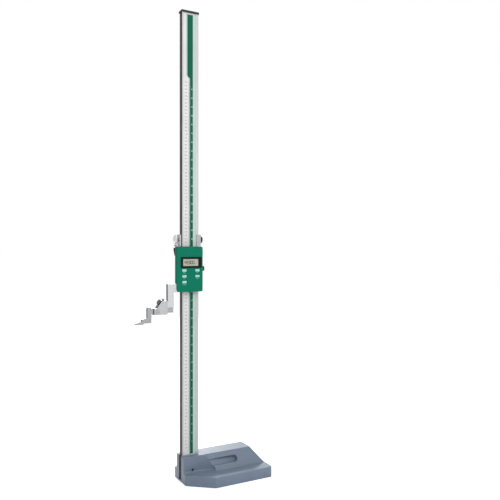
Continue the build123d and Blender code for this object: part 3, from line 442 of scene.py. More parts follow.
@dataclass
class MaterialLibrary:
    """Builds each finish's material once."""

    effects: Effects
    made: Dict[str, bpy.types.Material] = field(default_factory=dict)

    def get(self, finish: Finish) -> bpy.types.Material:
        """Material of a finish.

        Args:
            finish: The finish.

        Returns:
            The material, made on first use.
        """
        if finish.name not in self.made:
            self.made[finish.name] = self._build(finish)
        return self.made[finish.name]

    def _build(self, finish: Finish) -> bpy.types.Material:
        """Makes a material.

        Args:
            finish: The finish.

        Returns:
            The material.
        """
        material = bpy.data.materials.new(finish.name)
        material.use_nodes = True
        tree = material.node_tree
        coords = tree.nodes.new("ShaderNodeTexCoord").outputs["Object"]
        marks = {"Vector": coords, "Scale": finish.marks.value}
        stretched = add_node(tree, "ShaderNodeMapping", marks).outputs["Vector"]
        effects = self.effects
        grain = self._place(tree, effects.grain, {"Vector": stretched, "Scale": finish.grain})
        inputs = {"Radius": finish.edge, "Break Up": grain["Variation"]}
        edges = self._place(tree, effects.edges, inputs)
        inputs = {"Vector": coords, "Amount": finish.scratches}
        scratches = self._place(tree, effects.scratches, inputs)["Mask"]
        rough = (
            max(LEAST_ROUGHNESS, finish.roughness - finish.spread),
            finish.roughness + finish.spread,
        )
        varied = add_range(tree, grain["Variation"], VARIATION, rough)
        inputs = {
            "Base Color": self._color(tree, finish, coords, (grain, edges), scratches),
            "Roughness": add_math(tree, "MULTIPLY_ADD", scratches, SCRATCH_ROUGHNESS, varied),
            "Normal": self._normal(tree, finish, coords, grain["Height"], edges["Normal"]),
            "Metallic": finish.metallic,
            "Coat Weight": finish.coat,
            "Alpha": finish.alpha,
            "Specular IOR Level": finish.specular,
        }
        feed(tree, tree.nodes["Principled BSDF"], inputs)
        return material

    @staticmethod
    def _place(tree: Tree, group: Tree, inputs: Dict) -> Dict[str, Socket]:
        """Places a shared group in a material and returns its outputs."""
        return add_node(tree, "ShaderNodeGroup", inputs, node_tree=group).outputs

    @staticmethod
    def _mix(tree: Tree, factor: Socket, color: Socket, other: Color) -> Socket:
        """Mixes a fixed colour over another, by a mask."""
        inputs = {"Factor": factor, MIX_BELOW: color, MIX_ABOVE: (*other, 1.0)}
        return add_node(tree, "ShaderNodeMix", inputs, data_type="RGBA").outputs[MIX_RESULT]

    def _color(
        self,
        tree: Tree,
        finish: Finish,
        coords: Socket,
        placed: Tuple[Dict[str, Socket], Dict[str, Socket]],
        scratches: Socket,
    ) -> Socket:
        """Layers the colour: base, second colour of the sides (painted shade on the flanks), slow
        variation, scratches, wear, painted corner shade and dust.

        Args:
            tree: The material's node tree.
            finish: The finish.
            coords: Object coordinates.
            placed: Outputs of the grain group and of the edge group.
            scratches: Mask of the scratches.

        Returns:
            Socket of the colour.
        """
        grain, edges = placed
        color = tree.nodes.new("ShaderNodeRGB").outputs[0]
        color.default_value = (*finish.color, 1.0)
        if finish.sides is not None:
            # on the flanks this second colour is painted shade; on the underside it is the ground finish
            color = self._mix(tree, self._side_mask(tree, finish.sides), color, finish.side_color)
        shade = add_range(tree, grain["Variation"], VARIATION, SHADES)
        vary = add_node(tree, "ShaderNodeHueSaturation", {"Value": shade, "Color": color})
        color = vary.outputs["Color"]
        if finish.scratches:
            color = self._mix(tree, scratches, color, finish.worn)
        if finish.wear:
            worn = add_math(tree, "MULTIPLY", edges["Mask"], finish.wear * WEAR_GAIN)
            color = self._mix(tree, worn, color, finish.worn)
        painted_shade_color = tuple(channel * PAINTED_SHADE_SHARE for channel in finish.color)
        # painted shade in corners and hollows, then dust on upward faces
        for group, amount, over in (
            (self.effects.grime, finish.grime, painted_shade_color),
            (self.effects.dust, finish.dust, DUST_COLOR),
        ):
            if amount:
                mask = self._place(tree, group, {"Vector": coords, "Amount": amount})["Mask"]
                color = self._mix(tree, mask, color, over)
        return color

    @staticmethod
    def _side_mask(tree: Tree, sides: Sides) -> Socket:
        """Mask of the faces that have the second colour: painted shade on the flanks, the ground finish
        underneath.

        Args:
            tree: The material's node tree.
            sides: Which faces.

        Returns:
            Socket of the mask.
        """
        axis, operation, limit = sides.value
        normal = tree.nodes.new("ShaderNodeNewGeometry").outputs["True Normal"]
        part = add_node(tree, "ShaderNodeSeparateXYZ", {"Vector": normal}).outputs[axis]
        return add_math(tree, "GREATER_THAN", add_math(tree, operation, part, -1.0), limit)

    @staticmethod
    def _normal(
        tree: Tree, finish: Finish, coords: Socket, height: Socket, soft: Socket
    ) -> Socket:
        """Normal from the softened edges, the slow lumps and the fine grain.

        Args:
            tree: The material's node tree.
            finish: The finish.
            coords: Object coordinates.
            height: Height of the fine grain.
            soft: Normal with softened edges.

        Returns:
            Socket of the normal.
        """
        layers = [(height, finish.bump)]
        if finish.lumps:
            layers.insert(0, (add_noise(tree, coords, 38.0, 3.0), finish.lumps))
        normal = soft
        for relief, distance in layers:
            inputs = {"Height": relief, "Distance": distance, "Normal": normal}
            normal = add_node(tree, "ShaderNodeBump", inputs).outputs["Normal"]
        return normal


@dataclass
class Workshop:
    """Turns bmesh geometry into placed pieces and dresses the CAD nodes."""

    library: MaterialLibrary
    nodes: Dict[str, bpy.types.Object]
    joints: Sequence[Dict]

    def piece(
        self,
        name: str,
        bm: BMesh,
        finish: Finish,
        body: str,
        replaces: Sequence[str] = (),
        smooth: bool = False,
    ) -> bpy.types.Object:
        """Makes an object from bm and frees bm.

        Args:
            name: Name of the object.
            bm: Geometry in metres, in its place.
            finish: Finish of the surface.
            body: CAD body that it moves with.
            replaces: CAD nodes that it stands for.
            smooth: Whether shallow edges are shaded smooth.

        Returns:
            The object.
        """
        mesh = bpy.data.meshes.new(name)
        if smooth:
            for face in bm.faces:
                face.smooth = True
            for edge in bm.edges:
                edge.smooth = edge.calc_face_angle(0.0) < SHALLOW
        bm.to_mesh(mesh)
        bm.free()
        obj = bpy.data.objects.new(name, mesh)
        bpy.context.scene.collection.objects.link(obj)
        mesh.materials.append(self.library.get(finish))
        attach(obj, body)
        if replaces:
            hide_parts(*replaces)
        log.info("piece %s: %d faces, on body %s", name, len(mesh.polygons), body)
        return obj

    def dress(self, node: str, finish: Finish) -> None:
        """Gives a CAD node its finish.

        Args:
            node: Name of the node.
            finish: The finish.
        """
        mesh = self.nodes[node].data
        mesh.materials.clear()
        mesh.materials.append(self.library.get(finish))

    def reach(self, node: str, direction: Vector) -> float:
        """How far a CAD node reaches along a unit vector from the origin, in metres."""
        return max(vertex.co.dot(direction) for vertex in self.nodes[node].data.vertices)

    def turning_axis(self, body: str) -> Tuple[Vector, Vector]:
        """Axis on which a body turns: a point on it, in metres, and its direction."""
        joint = next(j for j in self.joints if j["child"] == body and j["type"] == "hinge")
        return Vector(joint["pos_m"]), Vector(joint["axis"]).normalized()


def box_mm(node: str) -> Tuple[Vector, Vector]:
    """Lowest and highest corner of a CAD node at rest, in millimetres."""
    low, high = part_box(node)
    return low / MM, high / MM


def add_box(bm: BMesh, low: Point, high: Point) -> List[bmesh.types.BMVert]:
    """Adds a box.

    Args:
        bm: Mesh to add to.
        low: Lowest corner, in millimetres.
        high: Highest corner, in millimetres.

    Returns:
        The box's vertices.
    """
    middle = Vector([(a + b) / 2 * MM for a, b in zip(low, high)])
    size = Vector([(b - a) * MM for a, b in zip(low, high)])
    matrix = Matrix.Translation(middle) @ Matrix.Diagonal((*size, 1.0))
    return bmesh.ops.create_cube(bm, size=1.0, matrix=matrix)["verts"]


def add_prism(bm: BMesh, outline: Sequence[Pair], front: float, back: float) -> None:
    """Adds a prism along Y.

    Args:
        bm: Mesh to add to.
        outline: Corners in X and Z, in millimetres.
        front: Y of the front face, in millimetres.
        back: Y of the back face, in millimetres.
    """
    verts = [bm.verts.new((x * MM, front * MM, z * MM)) for x, z in outline]
    face = bm.faces.new(verts)
    made = bmesh.ops.extrude_face_region(bm, geom=[face])["geom"]
    moved = [g for g in made if isinstance(g, bmesh.types.BMVert)]
    bmesh.ops.translate(bm, vec=(0.0, (back - front) * MM, 0.0), verts=moved)


def add_text(
    bm: BMesh, words: str, height: float, at: Point, depth: float, bold: float = 0.0
) -> None:
    """Adds raised lettering that looks towards -Y.

    Args:
        bm: Mesh to add to.
        words: The text.
        height: Height of the figures, in millimetres.
        at: Its middle in X and Z, and the face that it stands on, in millimetres.
        depth: How far it stands out, in millimetres.
        bold: How much wider its strokes are on each side, in millimetres.
    """
    curve = bpy.data.curves.new("lettering", "FONT")
    curve.body = words
    curve.size = height / FIGURE_SHARE * MM
    curve.offset = bold * MM
    curve.align_x = "CENTER"
    curve.align_y = "CENTER"
    curve.extrude = depth / 2 * MM
    curve.resolution_u = 2
    obj = bpy.data.objects.new("lettering", curve)
    mesh = bpy.data.meshes.new_from_object(obj)
    glyphs = bmesh.new()
    glyphs.from_mesh(mesh)
    bmesh.ops.remove_doubles(glyphs, verts=glyphs.verts[:], dist=WELD)
    shift = Matrix.Translation(Vector((at[0], at[1] - depth / 2, at[2])) * MM)
    turn = Matrix.Rotation(math.radians(90), 4, "X")
    bmesh.ops.transform(glyphs, matrix=shift @ turn, verts=glyphs.verts[:])
    glyphs.to_mesh(mesh)
    glyphs.free()
    bm.from_mesh(mesh)
    bpy.data.objects.remove(obj)
    bpy.data.meshes.remove(mesh)
    bpy.data.curves.remove(curve)


@dataclass(frozen=True)
class Turned:
    """A turned piece with straight knurling, on a turning joint of the CAD.

    Args:
        name: Name of the piece.
        node: CAD node that it stands for.
        body: CAD body that it moves with.
        outward: Direction of its axis.
        profile: Distance along the axis and radius of each corner, in millimetres.
        knurl: Start and end of the knurled band along the axis.
        teeth: Number of teeth round the band.
        depth: Depth of the teeth, in millimetres.
        finish: Finish of the surface.
        slot: Material slot of the record; not used.
        shank: Radius below which nothing is knurled, in millimetres.
        bored: Whether the profile is a closed ring instead of ending on the axis.
    """

    name: str
    node: str
    body: str
    outward: Point
    profile: Tuple[Pair, ...]
    knurl: Pair
    teeth: int
    depth: float
    finish: Finish
    slot: str
    shank: float = 5.5
    bored: bool = False

    def _turned_profile(self) -> BMesh:
        """Profile turned round Z.

        Returns:
            The closed shape, with its axis on Z.
        """
        bm = bmesh.new()
        verts = [bm.verts.new((radius * MM, 0.0, along * MM)) for along, radius in self.profile]
        edges = [bm.edges.new(pair) for pair in zip(verts, verts[1:])]
        if self.bored:
            edges.append(bm.edges.new((verts[-1], verts[0])))
        bmesh.ops.spin(
            bm, geom=verts + edges, cent=(0, 0, 0), axis=(0, 0, 1), dvec=(0, 0, 0),
            angle=math.tau, steps=self.teeth * 2, use_merge=True, use_duplicate=False,
        )
        bmesh.ops.remove_doubles(bm, verts=bm.verts[:], dist=WELD)
        return bm

    def _cut_knurl(self, bm: BMesh) -> None:
        """Draws in every second line of vertices round the knurled band.

        Args:
            bm: The turned shape.
        """
        slack = 0.01 * MM
        low, high = self.knurl[0] * MM - slack, self.knurl[1] * MM + slack
        for vert in bm.verts:
            radius = math.hypot(vert.co.x, vert.co.y)
            place = round(math.atan2(vert.co.y, vert.co.x) / math.tau * self.teeth * 2)
            if place % 2 and radius > self.shank * MM and low <= vert.co.z <= high:
                share = 1 - self.depth * MM / radius
                bmesh.ops.scale(bm, vec=(share, share, 1.0), verts=[vert])

    def build(self, shop: Workshop) -> bpy.types.Object:
        """Makes the piece.

        Args:
            shop: The workshop.

        Returns:
            The object.
        """
        bm = self._turned_profile()
        self._cut_knurl(bm)
        bmesh.ops.recalc_face_normals(bm, faces=bm.faces[:])
        point, _ = shop.turning_axis(self.body)
        axis = Vector(self.outward).normalized()
        length = max(along for along, _ in self.profile) * MM
        seat = point + axis * (shop.reach(self.node, axis) - length - point.dot(axis))
        turn = Vector((0, 0, 1)).rotation_difference(axis).to_matrix().to_4x4()
        bmesh.ops.transform(bm, matrix=Matrix.Translation(seat) @ turn, verts=bm.verts[:])
        return shop.piece(
            self.name, bm, self.finish, self.body, [self.node], smooth=True
        )


@dataclass(frozen=True)
class Thread:
    """A threaded rod that stands for a plain CAD screw along Z.

    Args:
        name: Name of the piece.
        node: CAD node that it stands for.
        body: CAD body that it moves with.
        pitch: Rise of one turn, in millimetres.
        depth: Depth of the thread, in millimetres.
        steps: Steps of one turn.
    """

    name: str
    node: str
    body: str
    pitch: float = 1.0
    depth: float = 0.45
    steps: int = 18

    def build(self, shop: Workshop) -> bpy.types.Object:
        """Makes the rod: one turn's V is wound up, cut to length and closed.

        Args:
            shop: The workshop.

        Returns:
            The object.
        """
        low, high = box_mm(self.node)
        crest = (high.x - low.x) / 2
        root = crest - self.depth
        middle = ((low.x + high.x) / 2 * MM, (low.y + high.y) / 2 * MM, 0.0)
        turns = math.ceil((high.z - low.z) / self.pitch) + 2
        start = low.z - self.pitch
        corners = ((root, 0.0), (root, 0.1), (crest, 0.45), (crest, 0.65), (root, 1.0))
        bm = bmesh.new()
        verts = [
            bm.verts.new((radius * MM, 0.0, (start + share * self.pitch) * MM))
            for radius, share in corners
        ]
        edges = [bm.edges.new(pair) for pair in zip(verts, verts[1:])]
        bmesh.ops.spin(
            bm, geom=verts + edges, cent=(0, 0, 0), axis=(0, 0, 1),
            dvec=(0, 0, self.pitch * MM / self.steps), angle=math.tau * turns,
            steps=self.steps * turns, use_merge=False, use_duplicate=False,
        )
        bmesh.ops.remove_doubles(bm, verts=bm.verts[:], dist=1e-6)
        for height, up in ((low.z, -1.0), (high.z, 1.0)):
            cut = bmesh.ops.bisect_plane(
                bm, geom=bm.verts[:] + bm.edges[:] + bm.faces[:], dist=WELD,
                plane_co=(0, 0, height * MM), plane_no=(0, 0, up), clear_outer=True,
            )
            rim = [g for g in cut["geom_cut"] if isinstance(g, bmesh.types.BMEdge)]
            bmesh.ops.holes_fill(bm, edges=rim, sides=0)
        bmesh.ops.recalc_face_normals(bm, faces=bm.faces[:])
        bmesh.ops.translate(bm, vec=middle, verts=bm.verts[:])
        return shop.piece(
            self.name, bm, BRIGHT, self.body, [self.node], smooth=True
        )


class SubAssembly:
    """Nodes that share a job, each with its finish, and the pieces added to them."""

    finishes: Dict[str, Finish] = {}

    def dress(self, shop: Workshop) -> None:
        """Gives the sub-assembly's CAD nodes their finishes."""
        for node, finish in self.finishes.items():
            shop.dress(node, finish)

    def build(self, shop: Workshop) -> None:
        """Adds the sub-assembly's own pieces."""


@dataclass(frozen=True)
class BaseStand(SubAssembly):
    """Casting that stands on the plate, and its set screws."""

    finishes = {"base_casting": CASTING, "column_set_screws": OXIDE}


@dataclass(frozen=True)
class Column(SubAssembly):
    """Column with its printed strip and its cap.

    Args:
        band_left: From the strip's left side to the dark band, in millimetres.
        band_width: Width of the dark band.
        tint_width: Width of the tinted line beside the band.
        title_height: Height of the wide band at the top.
        title_left: From the strip's left side to the wide band.
        title_radius: Corner of the wide band.
        last_reading: Highest graduation, in millimetres.
        inch: One inch, in millimetres.
        inch_parts: Graduations in an inch.
        foot: From the strip's lower end to its fields.
        head: From the strip's upper end to its fields.
        sunk: How deep the print reaches into the strip.
        band_lift: How far the dark band stands out.
        tint_lift: How far the tinted line and the margin stand out.
        mm_lines: Lengths of the graduations of ten, five and one millimetres.
        inch_lines: Lengths of the graduations of an inch, a half and a part.
    """

    band_left: float = 20.2
    band_width: float = 9.3
    tint_width: float = 3.2
    title_height: float = 176.0
    title_left: float = 12.6
    title_radius: float = 7.0
    last_reading: int = 1060
    inch: float = 25.4
    inch_parts: int = 20
    foot: float = 1.0
    head: float = 0.2
    sunk: float = 0.01
    band_lift: float = 0.03
    tint_lift: float = 0.02
    mm_lines: Point = (6.5, 4.8, 3.2)
    inch_lines: Point = (3.6, 2.6, 1.4)

    finishes = {
        "beam": COLUMN,
        "scale_strip": STRIP,
        "top_cap": BLACK,
        "cap_screws": OXIDE,
    }

    def _fields(self, low: Vector, high: Vector) -> Dict[str, BMesh]:
        """Coloured fields of the strip.

        Args:
            low: Lowest corner of the strip.
            high: Highest corner of the strip.

        Returns:
            The dark band, the tinted line and the margin.
        """
        back = low.y + self.sunk
        front = low.y - self.tint_lift
        raised = low.y - self.band_lift
        foot, head = low.z + self.foot, high.z - self.head
        band = low.x + self.band_left
        right = band + self.band_width
        title = high.z - self.title_height
        wide = low.x + self.title_left
        dark, tint, margin = bmesh.new(), bmesh.new(), bmesh.new()
        add_box(dark, (band, raised, foot), (right, back, head))
        steps = 9
        quarter = [math.radians(90 / steps * i) for i in range(steps)]
        corner = [
            (wide + (band - wide) * (1 - math.cos(a)), title - self.title_radius * math.sin(a))
            for a in quarter
        ]
        outline = [(band, title - self.title_radius), (band, head), (wide, head)]
        add_prism(dark, outline + corner, raised, back)
        add_box(tint, (band - self.tint_width, front, foot), (band, back, title))
        add_box(tint, (wide - self.tint_width, front, title), (wide, back, head))
        add_box(margin, (right, front, foot), (high.x - 0.1, back, head))
        return {"dark": dark, "tint": tint, "margin": margin}

    def _graduations(self, low: Vector) -> Dict[str, BMesh]:
        """Graduations and figures in millimetres and in inches.

        Args:
            low: Lowest corner of the strip.

        Returns:
            The dark and the pale print.
        """
        face, back = low.y, low.y + self.sunk
        pale_face = face - self.tint_lift
        zero = box_mm("housing_shell")[0].z - box_mm("scriber_tip")[0].z
        band = low.x + self.band_left
        mm_end, inch_start = band - 0.1, band + 0.1
        mm_figures, inch_figures = low.x + 7.6, band + self.band_width - 2.9
        ink, pale = bmesh.new(), bmesh.new()
        for reading in range(self.last_reading + 1):
            z = zero + reading
            whole = reading % 10 == 0
            length = self.mm_lines[0 if whole else 1 if reading % 5 == 0 else 2]
            add_box(ink, (mm_end - length, face - 0.05, z - 0.11), (mm_end, back, z + 0.11))
            if whole and reading:
                add_text(ink, str(reading), 3.0, (mm_figures, face, z), 0.05)
        part = self.inch / self.inch_parts
        for index in range(int(self.last_reading / part) + 1):
            z = zero + index * part
            whole = index % self.inch_parts == 0
            half = index % (self.inch_parts // 2) == 0
            length = self.inch_lines[0 if whole else 1 if half else 2]
            low_corner = (inch_start, face - 0.06, z - 0.1)
            add_box(pale, low_corner, (inch_start + length, pale_face, z + 0.1))
            if whole and index:
                figure = str(index // self.inch_parts)
                add_text(pale, figure, 4.4, (inch_figures, pale_face, z), 0.04, bold=0.12)
        return {"ink": ink, "pale": pale}

    def build(self, shop: Workshop) -> None:
        """Makes the strip's print.

        Args:
            shop: The workshop.
        """
        low, high = box_mm("scale_strip")
        print_work = {**self._fields(low, high), **self._graduations(low)}
        for part, name, finish in (
            ("ink", "scale_figures", INK),
            ("pale", "inch_figures", PALE_INK),
            ("dark", "scale_dark_band", STRIP_DARK),
            ("tint", "scale_tinted_line", STRIP_TINT),
            ("margin", "scale_margin", STRIP_MARGIN),
        ):
            bm = print_work[part]
            bmesh.ops.recalc_face_normals(bm, faces=bm.faces[:])
            shop.piece(name, bm, finish, "base")


@dataclass(frozen=True)
class Carriage(SubAssembly):
    """Carriage with its clamp, its drag screw and the fine adjustment."""

    clamp_knob: Turned = Turned(
        "carriage_clamp_knob", "carriage_clamp_screw", "carriage_clamp", (-1.0, 0.0, 0.0),
        (
            (-3.6, 0.0), (-3.6, 3.0), (0.0, 3.0), (0.0, 4.5), (1.4, 4.7), (8.7, 11.9),
            (9.3, 13.0), (12.9, 13.0), (13.5, 12.3), (13.9, 11.4), (13.9, 10.6), (14.4, 10.0),
            (15.5, 7.6), (16.0, 3.5), (16.1, 0.0),
        ),
        (9.3, 12.9), 48, 0.5, BRIGHT, "bright_steel",
    )
    drag_knob: Turned = Turned(
        "drag_knob", "drag_screw", "drag_knob", (1.0, 0.0, 0.0),
        (
            (-3.6, 0.0), (-3.6, 3.0), (0.0, 3.0), (0.0, 8.9), (0.6, 9.5), (6.6, 9.5),
            (7.4, 8.9), (8.0, 7.9), (8.0, 5.6), (7.4, 5.0), (7.4, 0.0),
        ),
        (0.6, 6.6), 36, 0.45, OXIDE, "oxide_steel",
    )
    fine_grip: Turned = Turned(
        "fine_adjust_grip", "fine_adjust_knob", "fine_adjuster", (0.0, 0.0, 1.0),
        (
            (0.0, 2.55), (0.0, 5.8), (0.6, 6.6), (13.6, 9.1), (14.4, 9.5), (21.9, 9.5),
            (23.0, 8.5), (23.0, 5.0), (26.7, 5.0), (26.7, 2.55),
        ),
        (0.6, 21.9), 30, 0.45, BLACK, "black_paint", bored=True,
    )
    fine_thread: Thread = Thread("fine_adjust_thread", "fine_adjust_screw", "fine_adjuster")

    finishes = {
        "carriage_block": GROUND,
        "clamp_pad": BRASS,
        "drag_pad": BRASS,
        "screw_clip": BRIGHT,
    }

    def build(self, shop: Workshop) -> None:
        """Makes the knobs and the thread."""
        for part in (self.clamp_knob, self.drag_knob, self.fine_grip, self.fine_thread):
            part.build(shop)


@dataclass(frozen=True)
class Slider(SubAssembly):
    """Slider frame behind the display, with its gib and its clamp."""

    clamp_knob: Turned = Turned(
        "slider_clamp_knob", "slider_clamp_screw", "slider_clamp", (1.0, 0.0, 0.0),
        (
            (-6.3, 0.0), (-6.3, 3.0), (0.0, 3.0), (0.0, 7.0), (0.5, 7.5), (10.6, 7.5),
            (11.5, 6.9), (12.0, 5.9), (12.0, 0.0),
        ),
        (0.5, 10.6), 28, 0.4, DARK_KNOB, "oxide_steel",
    )

    finishes = {
        "slider_frame": GROUND,
        "slider_cover": GROUND,
        "cover_screws": OXIDE,
        "slider_gib": BRASS,
        "gib_screws": OXIDE,
        "sensor_board": BOARD,
    }

    def build(self, shop: Workshop) -> None:
        """Makes the knob."""
        self.clamp_knob.build(shop)


SEGMENTS: Dict[str, str] = {"0": "abcdef", "4": "bcfg", "5": "acdfg", "9": "abcdfg"}


@dataclass(frozen=True)
class DisplayUnit(SubAssembly):
    """Display housing with its digits and its keys.

    Args:
        reading: Text of the display.
        height: Height of a digit, in millimetres.
        width: Width of a digit.
        pitch: Distance between digits.
        stroke: Half width of a segment.
        lean: Slant of the digits, in degrees.
        gap: Gap between segments.
        print_height: Height of the keys' lettering.
        print_drop: From a key's lower edge to the middle of its lettering.
        key_flange: How far a key's hidden flange reaches past that edge.
        first_digit: From the window's left side to the first digit.
        point: Half width of the decimal point.
        unit_height: Height of the unit's lettering.
        raised: How far the print stands out.
        sunk: How deep the print reaches into the panel.
    """

    reading: str = "459.00"
    height: float = 8.8
    width: float = 4.4
    pitch: float = 6.3
    stroke: float = 0.92
    lean: float = 5.0
    gap: float = 0.12
    print_height: float = 2.3
    print_drop: float = 3.2
    key_flange: float = 0.8
    first_digit: float = 7.0
    point: float = 0.6
    unit_height: float = 2.6
    raised: float = 0.05
    sunk: float = 0.01

    finishes = {
        "housing_shell": GREEN,
        "housing_rear_plate": DARK_PLASTIC,
        "housing_screws": OXIDE,
        "plate_screws": OXIDE,
        "display_bezel": BEZEL,
        "display_glass": GLASS,
        "display_panel": PANEL,
        "circuit_board": BOARD,
        "battery_tray": GREEN,
        "coin_cell": BRIGHT,
        "port_cover": RUBBER,
        **dict.fromkeys(("key_zero", "key_unit", "key_power", "key_preset", "key_hold"), KEY),
    }

    def _segment(self, bm: BMesh, letter: str, at: Pair, face: float) -> None:
        """Adds one segment of a digit.

        Args:
            bm: Mesh to add to.
            letter: Name of the segment, from a to g.
            at: Middle of the digit in X and Z.
            face: Y of the panel's face.
        """
        w, h, t = self.width / 2, self.height / 2, self.stroke
        inset = t + self.gap
        levels = {"a": h, "g": 0.0, "d": -h}
        if letter in levels:
            z = levels[letter]
            start, end = inset - w, w - inset
            outline = [
                (start - t, z), (start, z - t), (end, z - t), (end + t, z), (end, z + t),
                (start, z + t),
            ]
        else:
            x = w if letter in "bc" else -w
            start, end = (inset, h - inset) if letter in "bf" else (inset - h, -inset)
            outline = [
                (x, start - t), (x + t, start), (x + t, end), (x, end + t), (x - t, end),
                (x - t, start),
            ]
        slant = math.tan(math.radians(self.lean))
        placed = [(at[0] + x + z * slant, at[1] + z) for x, z in outline]
        add_prism(bm, placed, face - self.raised, face + self.sunk)

    def _digits(self) -> BMesh:
        """Digits, point and unit on the panel.

        Returns:
            The print of the display.
        """
        bm = bmesh.new()
        face = box_mm("display_panel")[0].y
        low, high = box_mm("display_glass")
        middle = (low.z + high.z) / 2
        foot = middle - self.height / 2
        front, back, half = face - self.raised, face + self.sunk, self.point
        x = low.x + self.first_digit
        for letter in self.reading:
            if letter != ".":
                for segment in SEGMENTS[letter]:
                    self._segment(bm, segment, (x, middle), face)
                x += self.pitch
                continue
            point = x - self.pitch / 2
            add_box(bm, (point - half, front, foot - half), (point + half, back, foot + half))
        at = (x + 0.6, face, foot + self.unit_height / 2)
        add_text(bm, "mm", self.unit_height, at, self.raised)
        return bm

    def _key_print(self) -> BMesh:
        """Lettering under the keys.

        Returns:
            The print of the housing.
        """
        bm = bmesh.new()
        face = box_mm("housing_shell")[0].y
        for node, words in (
            ("key_zero", "ZERO"),
            ("key_unit", "mm/in"),
            ("key_power", "ON/OFF"),
            ("key_preset", "SET"),
            ("key_hold", "HOLD"),
        ):
            low, high = box_mm(node)
            at = ((low.x + high.x) / 2, face, low.z + self.key_flange - self.print_drop)
            add_text(bm, words, self.print_height, at, self.raised, bold=0.03)
        return bm

    def build(self, shop: Workshop) -> None:
        """Makes the digits and the keys' lettering.

        Args:
            shop: The workshop.
        """
        for name, bm, finish, slot in (
            ("display_digits", self._digits(), SEGMENT, "display_grey"),
            ("key_lettering", self._key_print(), KEY_INK, "key_plastic"),
        ):
            bmesh.ops.recalc_face_normals(bm, faces=bm.faces[:])
            shop.piece(name, bm, finish, "slider")


@dataclass(frozen=True)
class ScriberArm(SubAssembly):
    """Measuring arm with the scriber and its clamp.

    Args:
        rib_count: Grip ribs on each side of the clamp.
        rib_pitch: Distance between ribs, in millimetres.
        rib_width: Width of a rib.
        rib_height: How far a rib stands out.
        rib_inset: From the clamp's edges to the ribs.
        rib_length: Height of the ribs.
    """

    rib_count: int = 8
    rib_pitch: float = 2.1
    rib_width: float = 1.2
    rib_height: float = 0.55
    rib_inset: float = 0.8
    rib_length: float = 15.6
    thumb_knob: Turned = Turned(
        "scriber_thumb_knob", "thumb_screw", "thumb_screw", (-0.809017, 0.0, 0.587785),
        (
            (0.3, 0.0), (0.3, 2.5), (4.05, 2.5), (4.05, 6.5), (4.5, 7.0), (9.4, 7.0),
            (10.05, 6.3), (10.05, 3.4), (9.4, 2.8), (9.4, 0.0),
        ),
        (4.5, 9.4), 32, 0.4, DARK_STEEL, "bright_steel",
    )

    finishes = {
        "measuring_arm": ARM,
        "arm_screws": OXIDE,
        "scriber_clamp": CLAMP,
        "lock_screw": GREY_SCREW,
        "scriber": SCRIBER,
        "scriber_tip": CARBIDE,
    }

    def _ribs(self) -> BMesh:
        """Grip ribs on both sides of the clamp's outer end.

        Returns:
            The ribs.
        """
        bm = bmesh.new()
        low, high = box_mm("scriber_clamp")
        foot = low.z + self.rib_inset + 1.0
        for face, out in ((low.y, -self.rib_height), (high.y, self.rib_height)):
            front, back = sorted((face - out * 0.2, face + out))
            for index in range(self.rib_count):
                x = low.x + self.rib_inset + index * self.rib_pitch
                verts = add_box(
                    bm, (x, front, foot), (x + self.rib_width, back, foot + self.rib_length)
                )
                edges = list({edge for vert in verts for edge in vert.link_edges})
                bmesh.ops.bevel(
                    bm, geom=edges, offset=0.22 * MM, offset_type="OFFSET", segments=2,
                    profile=0.5, affect="EDGES", material=-1,
                )
        return bm

    def build(self, shop: Workshop) -> None:
        """Makes the knob and the ribs."""
        self.thumb_knob.build(shop)
        shop.piece("clamp_ribs", self._ribs(), CLAMP, "slider", smooth=True)


@dataclass(frozen=True)
class Lamp:
    """A soft square lamp.

    Args:
        name: Name of the lamp.
        at: Its place, in metres.
        target: Point that it looks at.
        size: Side of the square.
        power: Power, in watts.
    """

    name: str
    at: Point
    target: Point
    size: float
    power: float

    def build(self) -> None:
        """Makes the lamp."""
        light = bpy.data.lights.new(self.name, "AREA")
        light.shape = "SQUARE"
        light.size = self.size
        light.energy = self.power
        obj = bpy.data.objects.new(self.name, light)
        bpy.context.scene.collection.objects.link(obj)
        obj.location = self.at
        obj.visible_camera = False
        obj.rotation_mode = "QUATERNION"
        obj.rotation_quaternion = (Vector(self.target) - Vector(self.at)).to_track_quat("-Z", "Y")


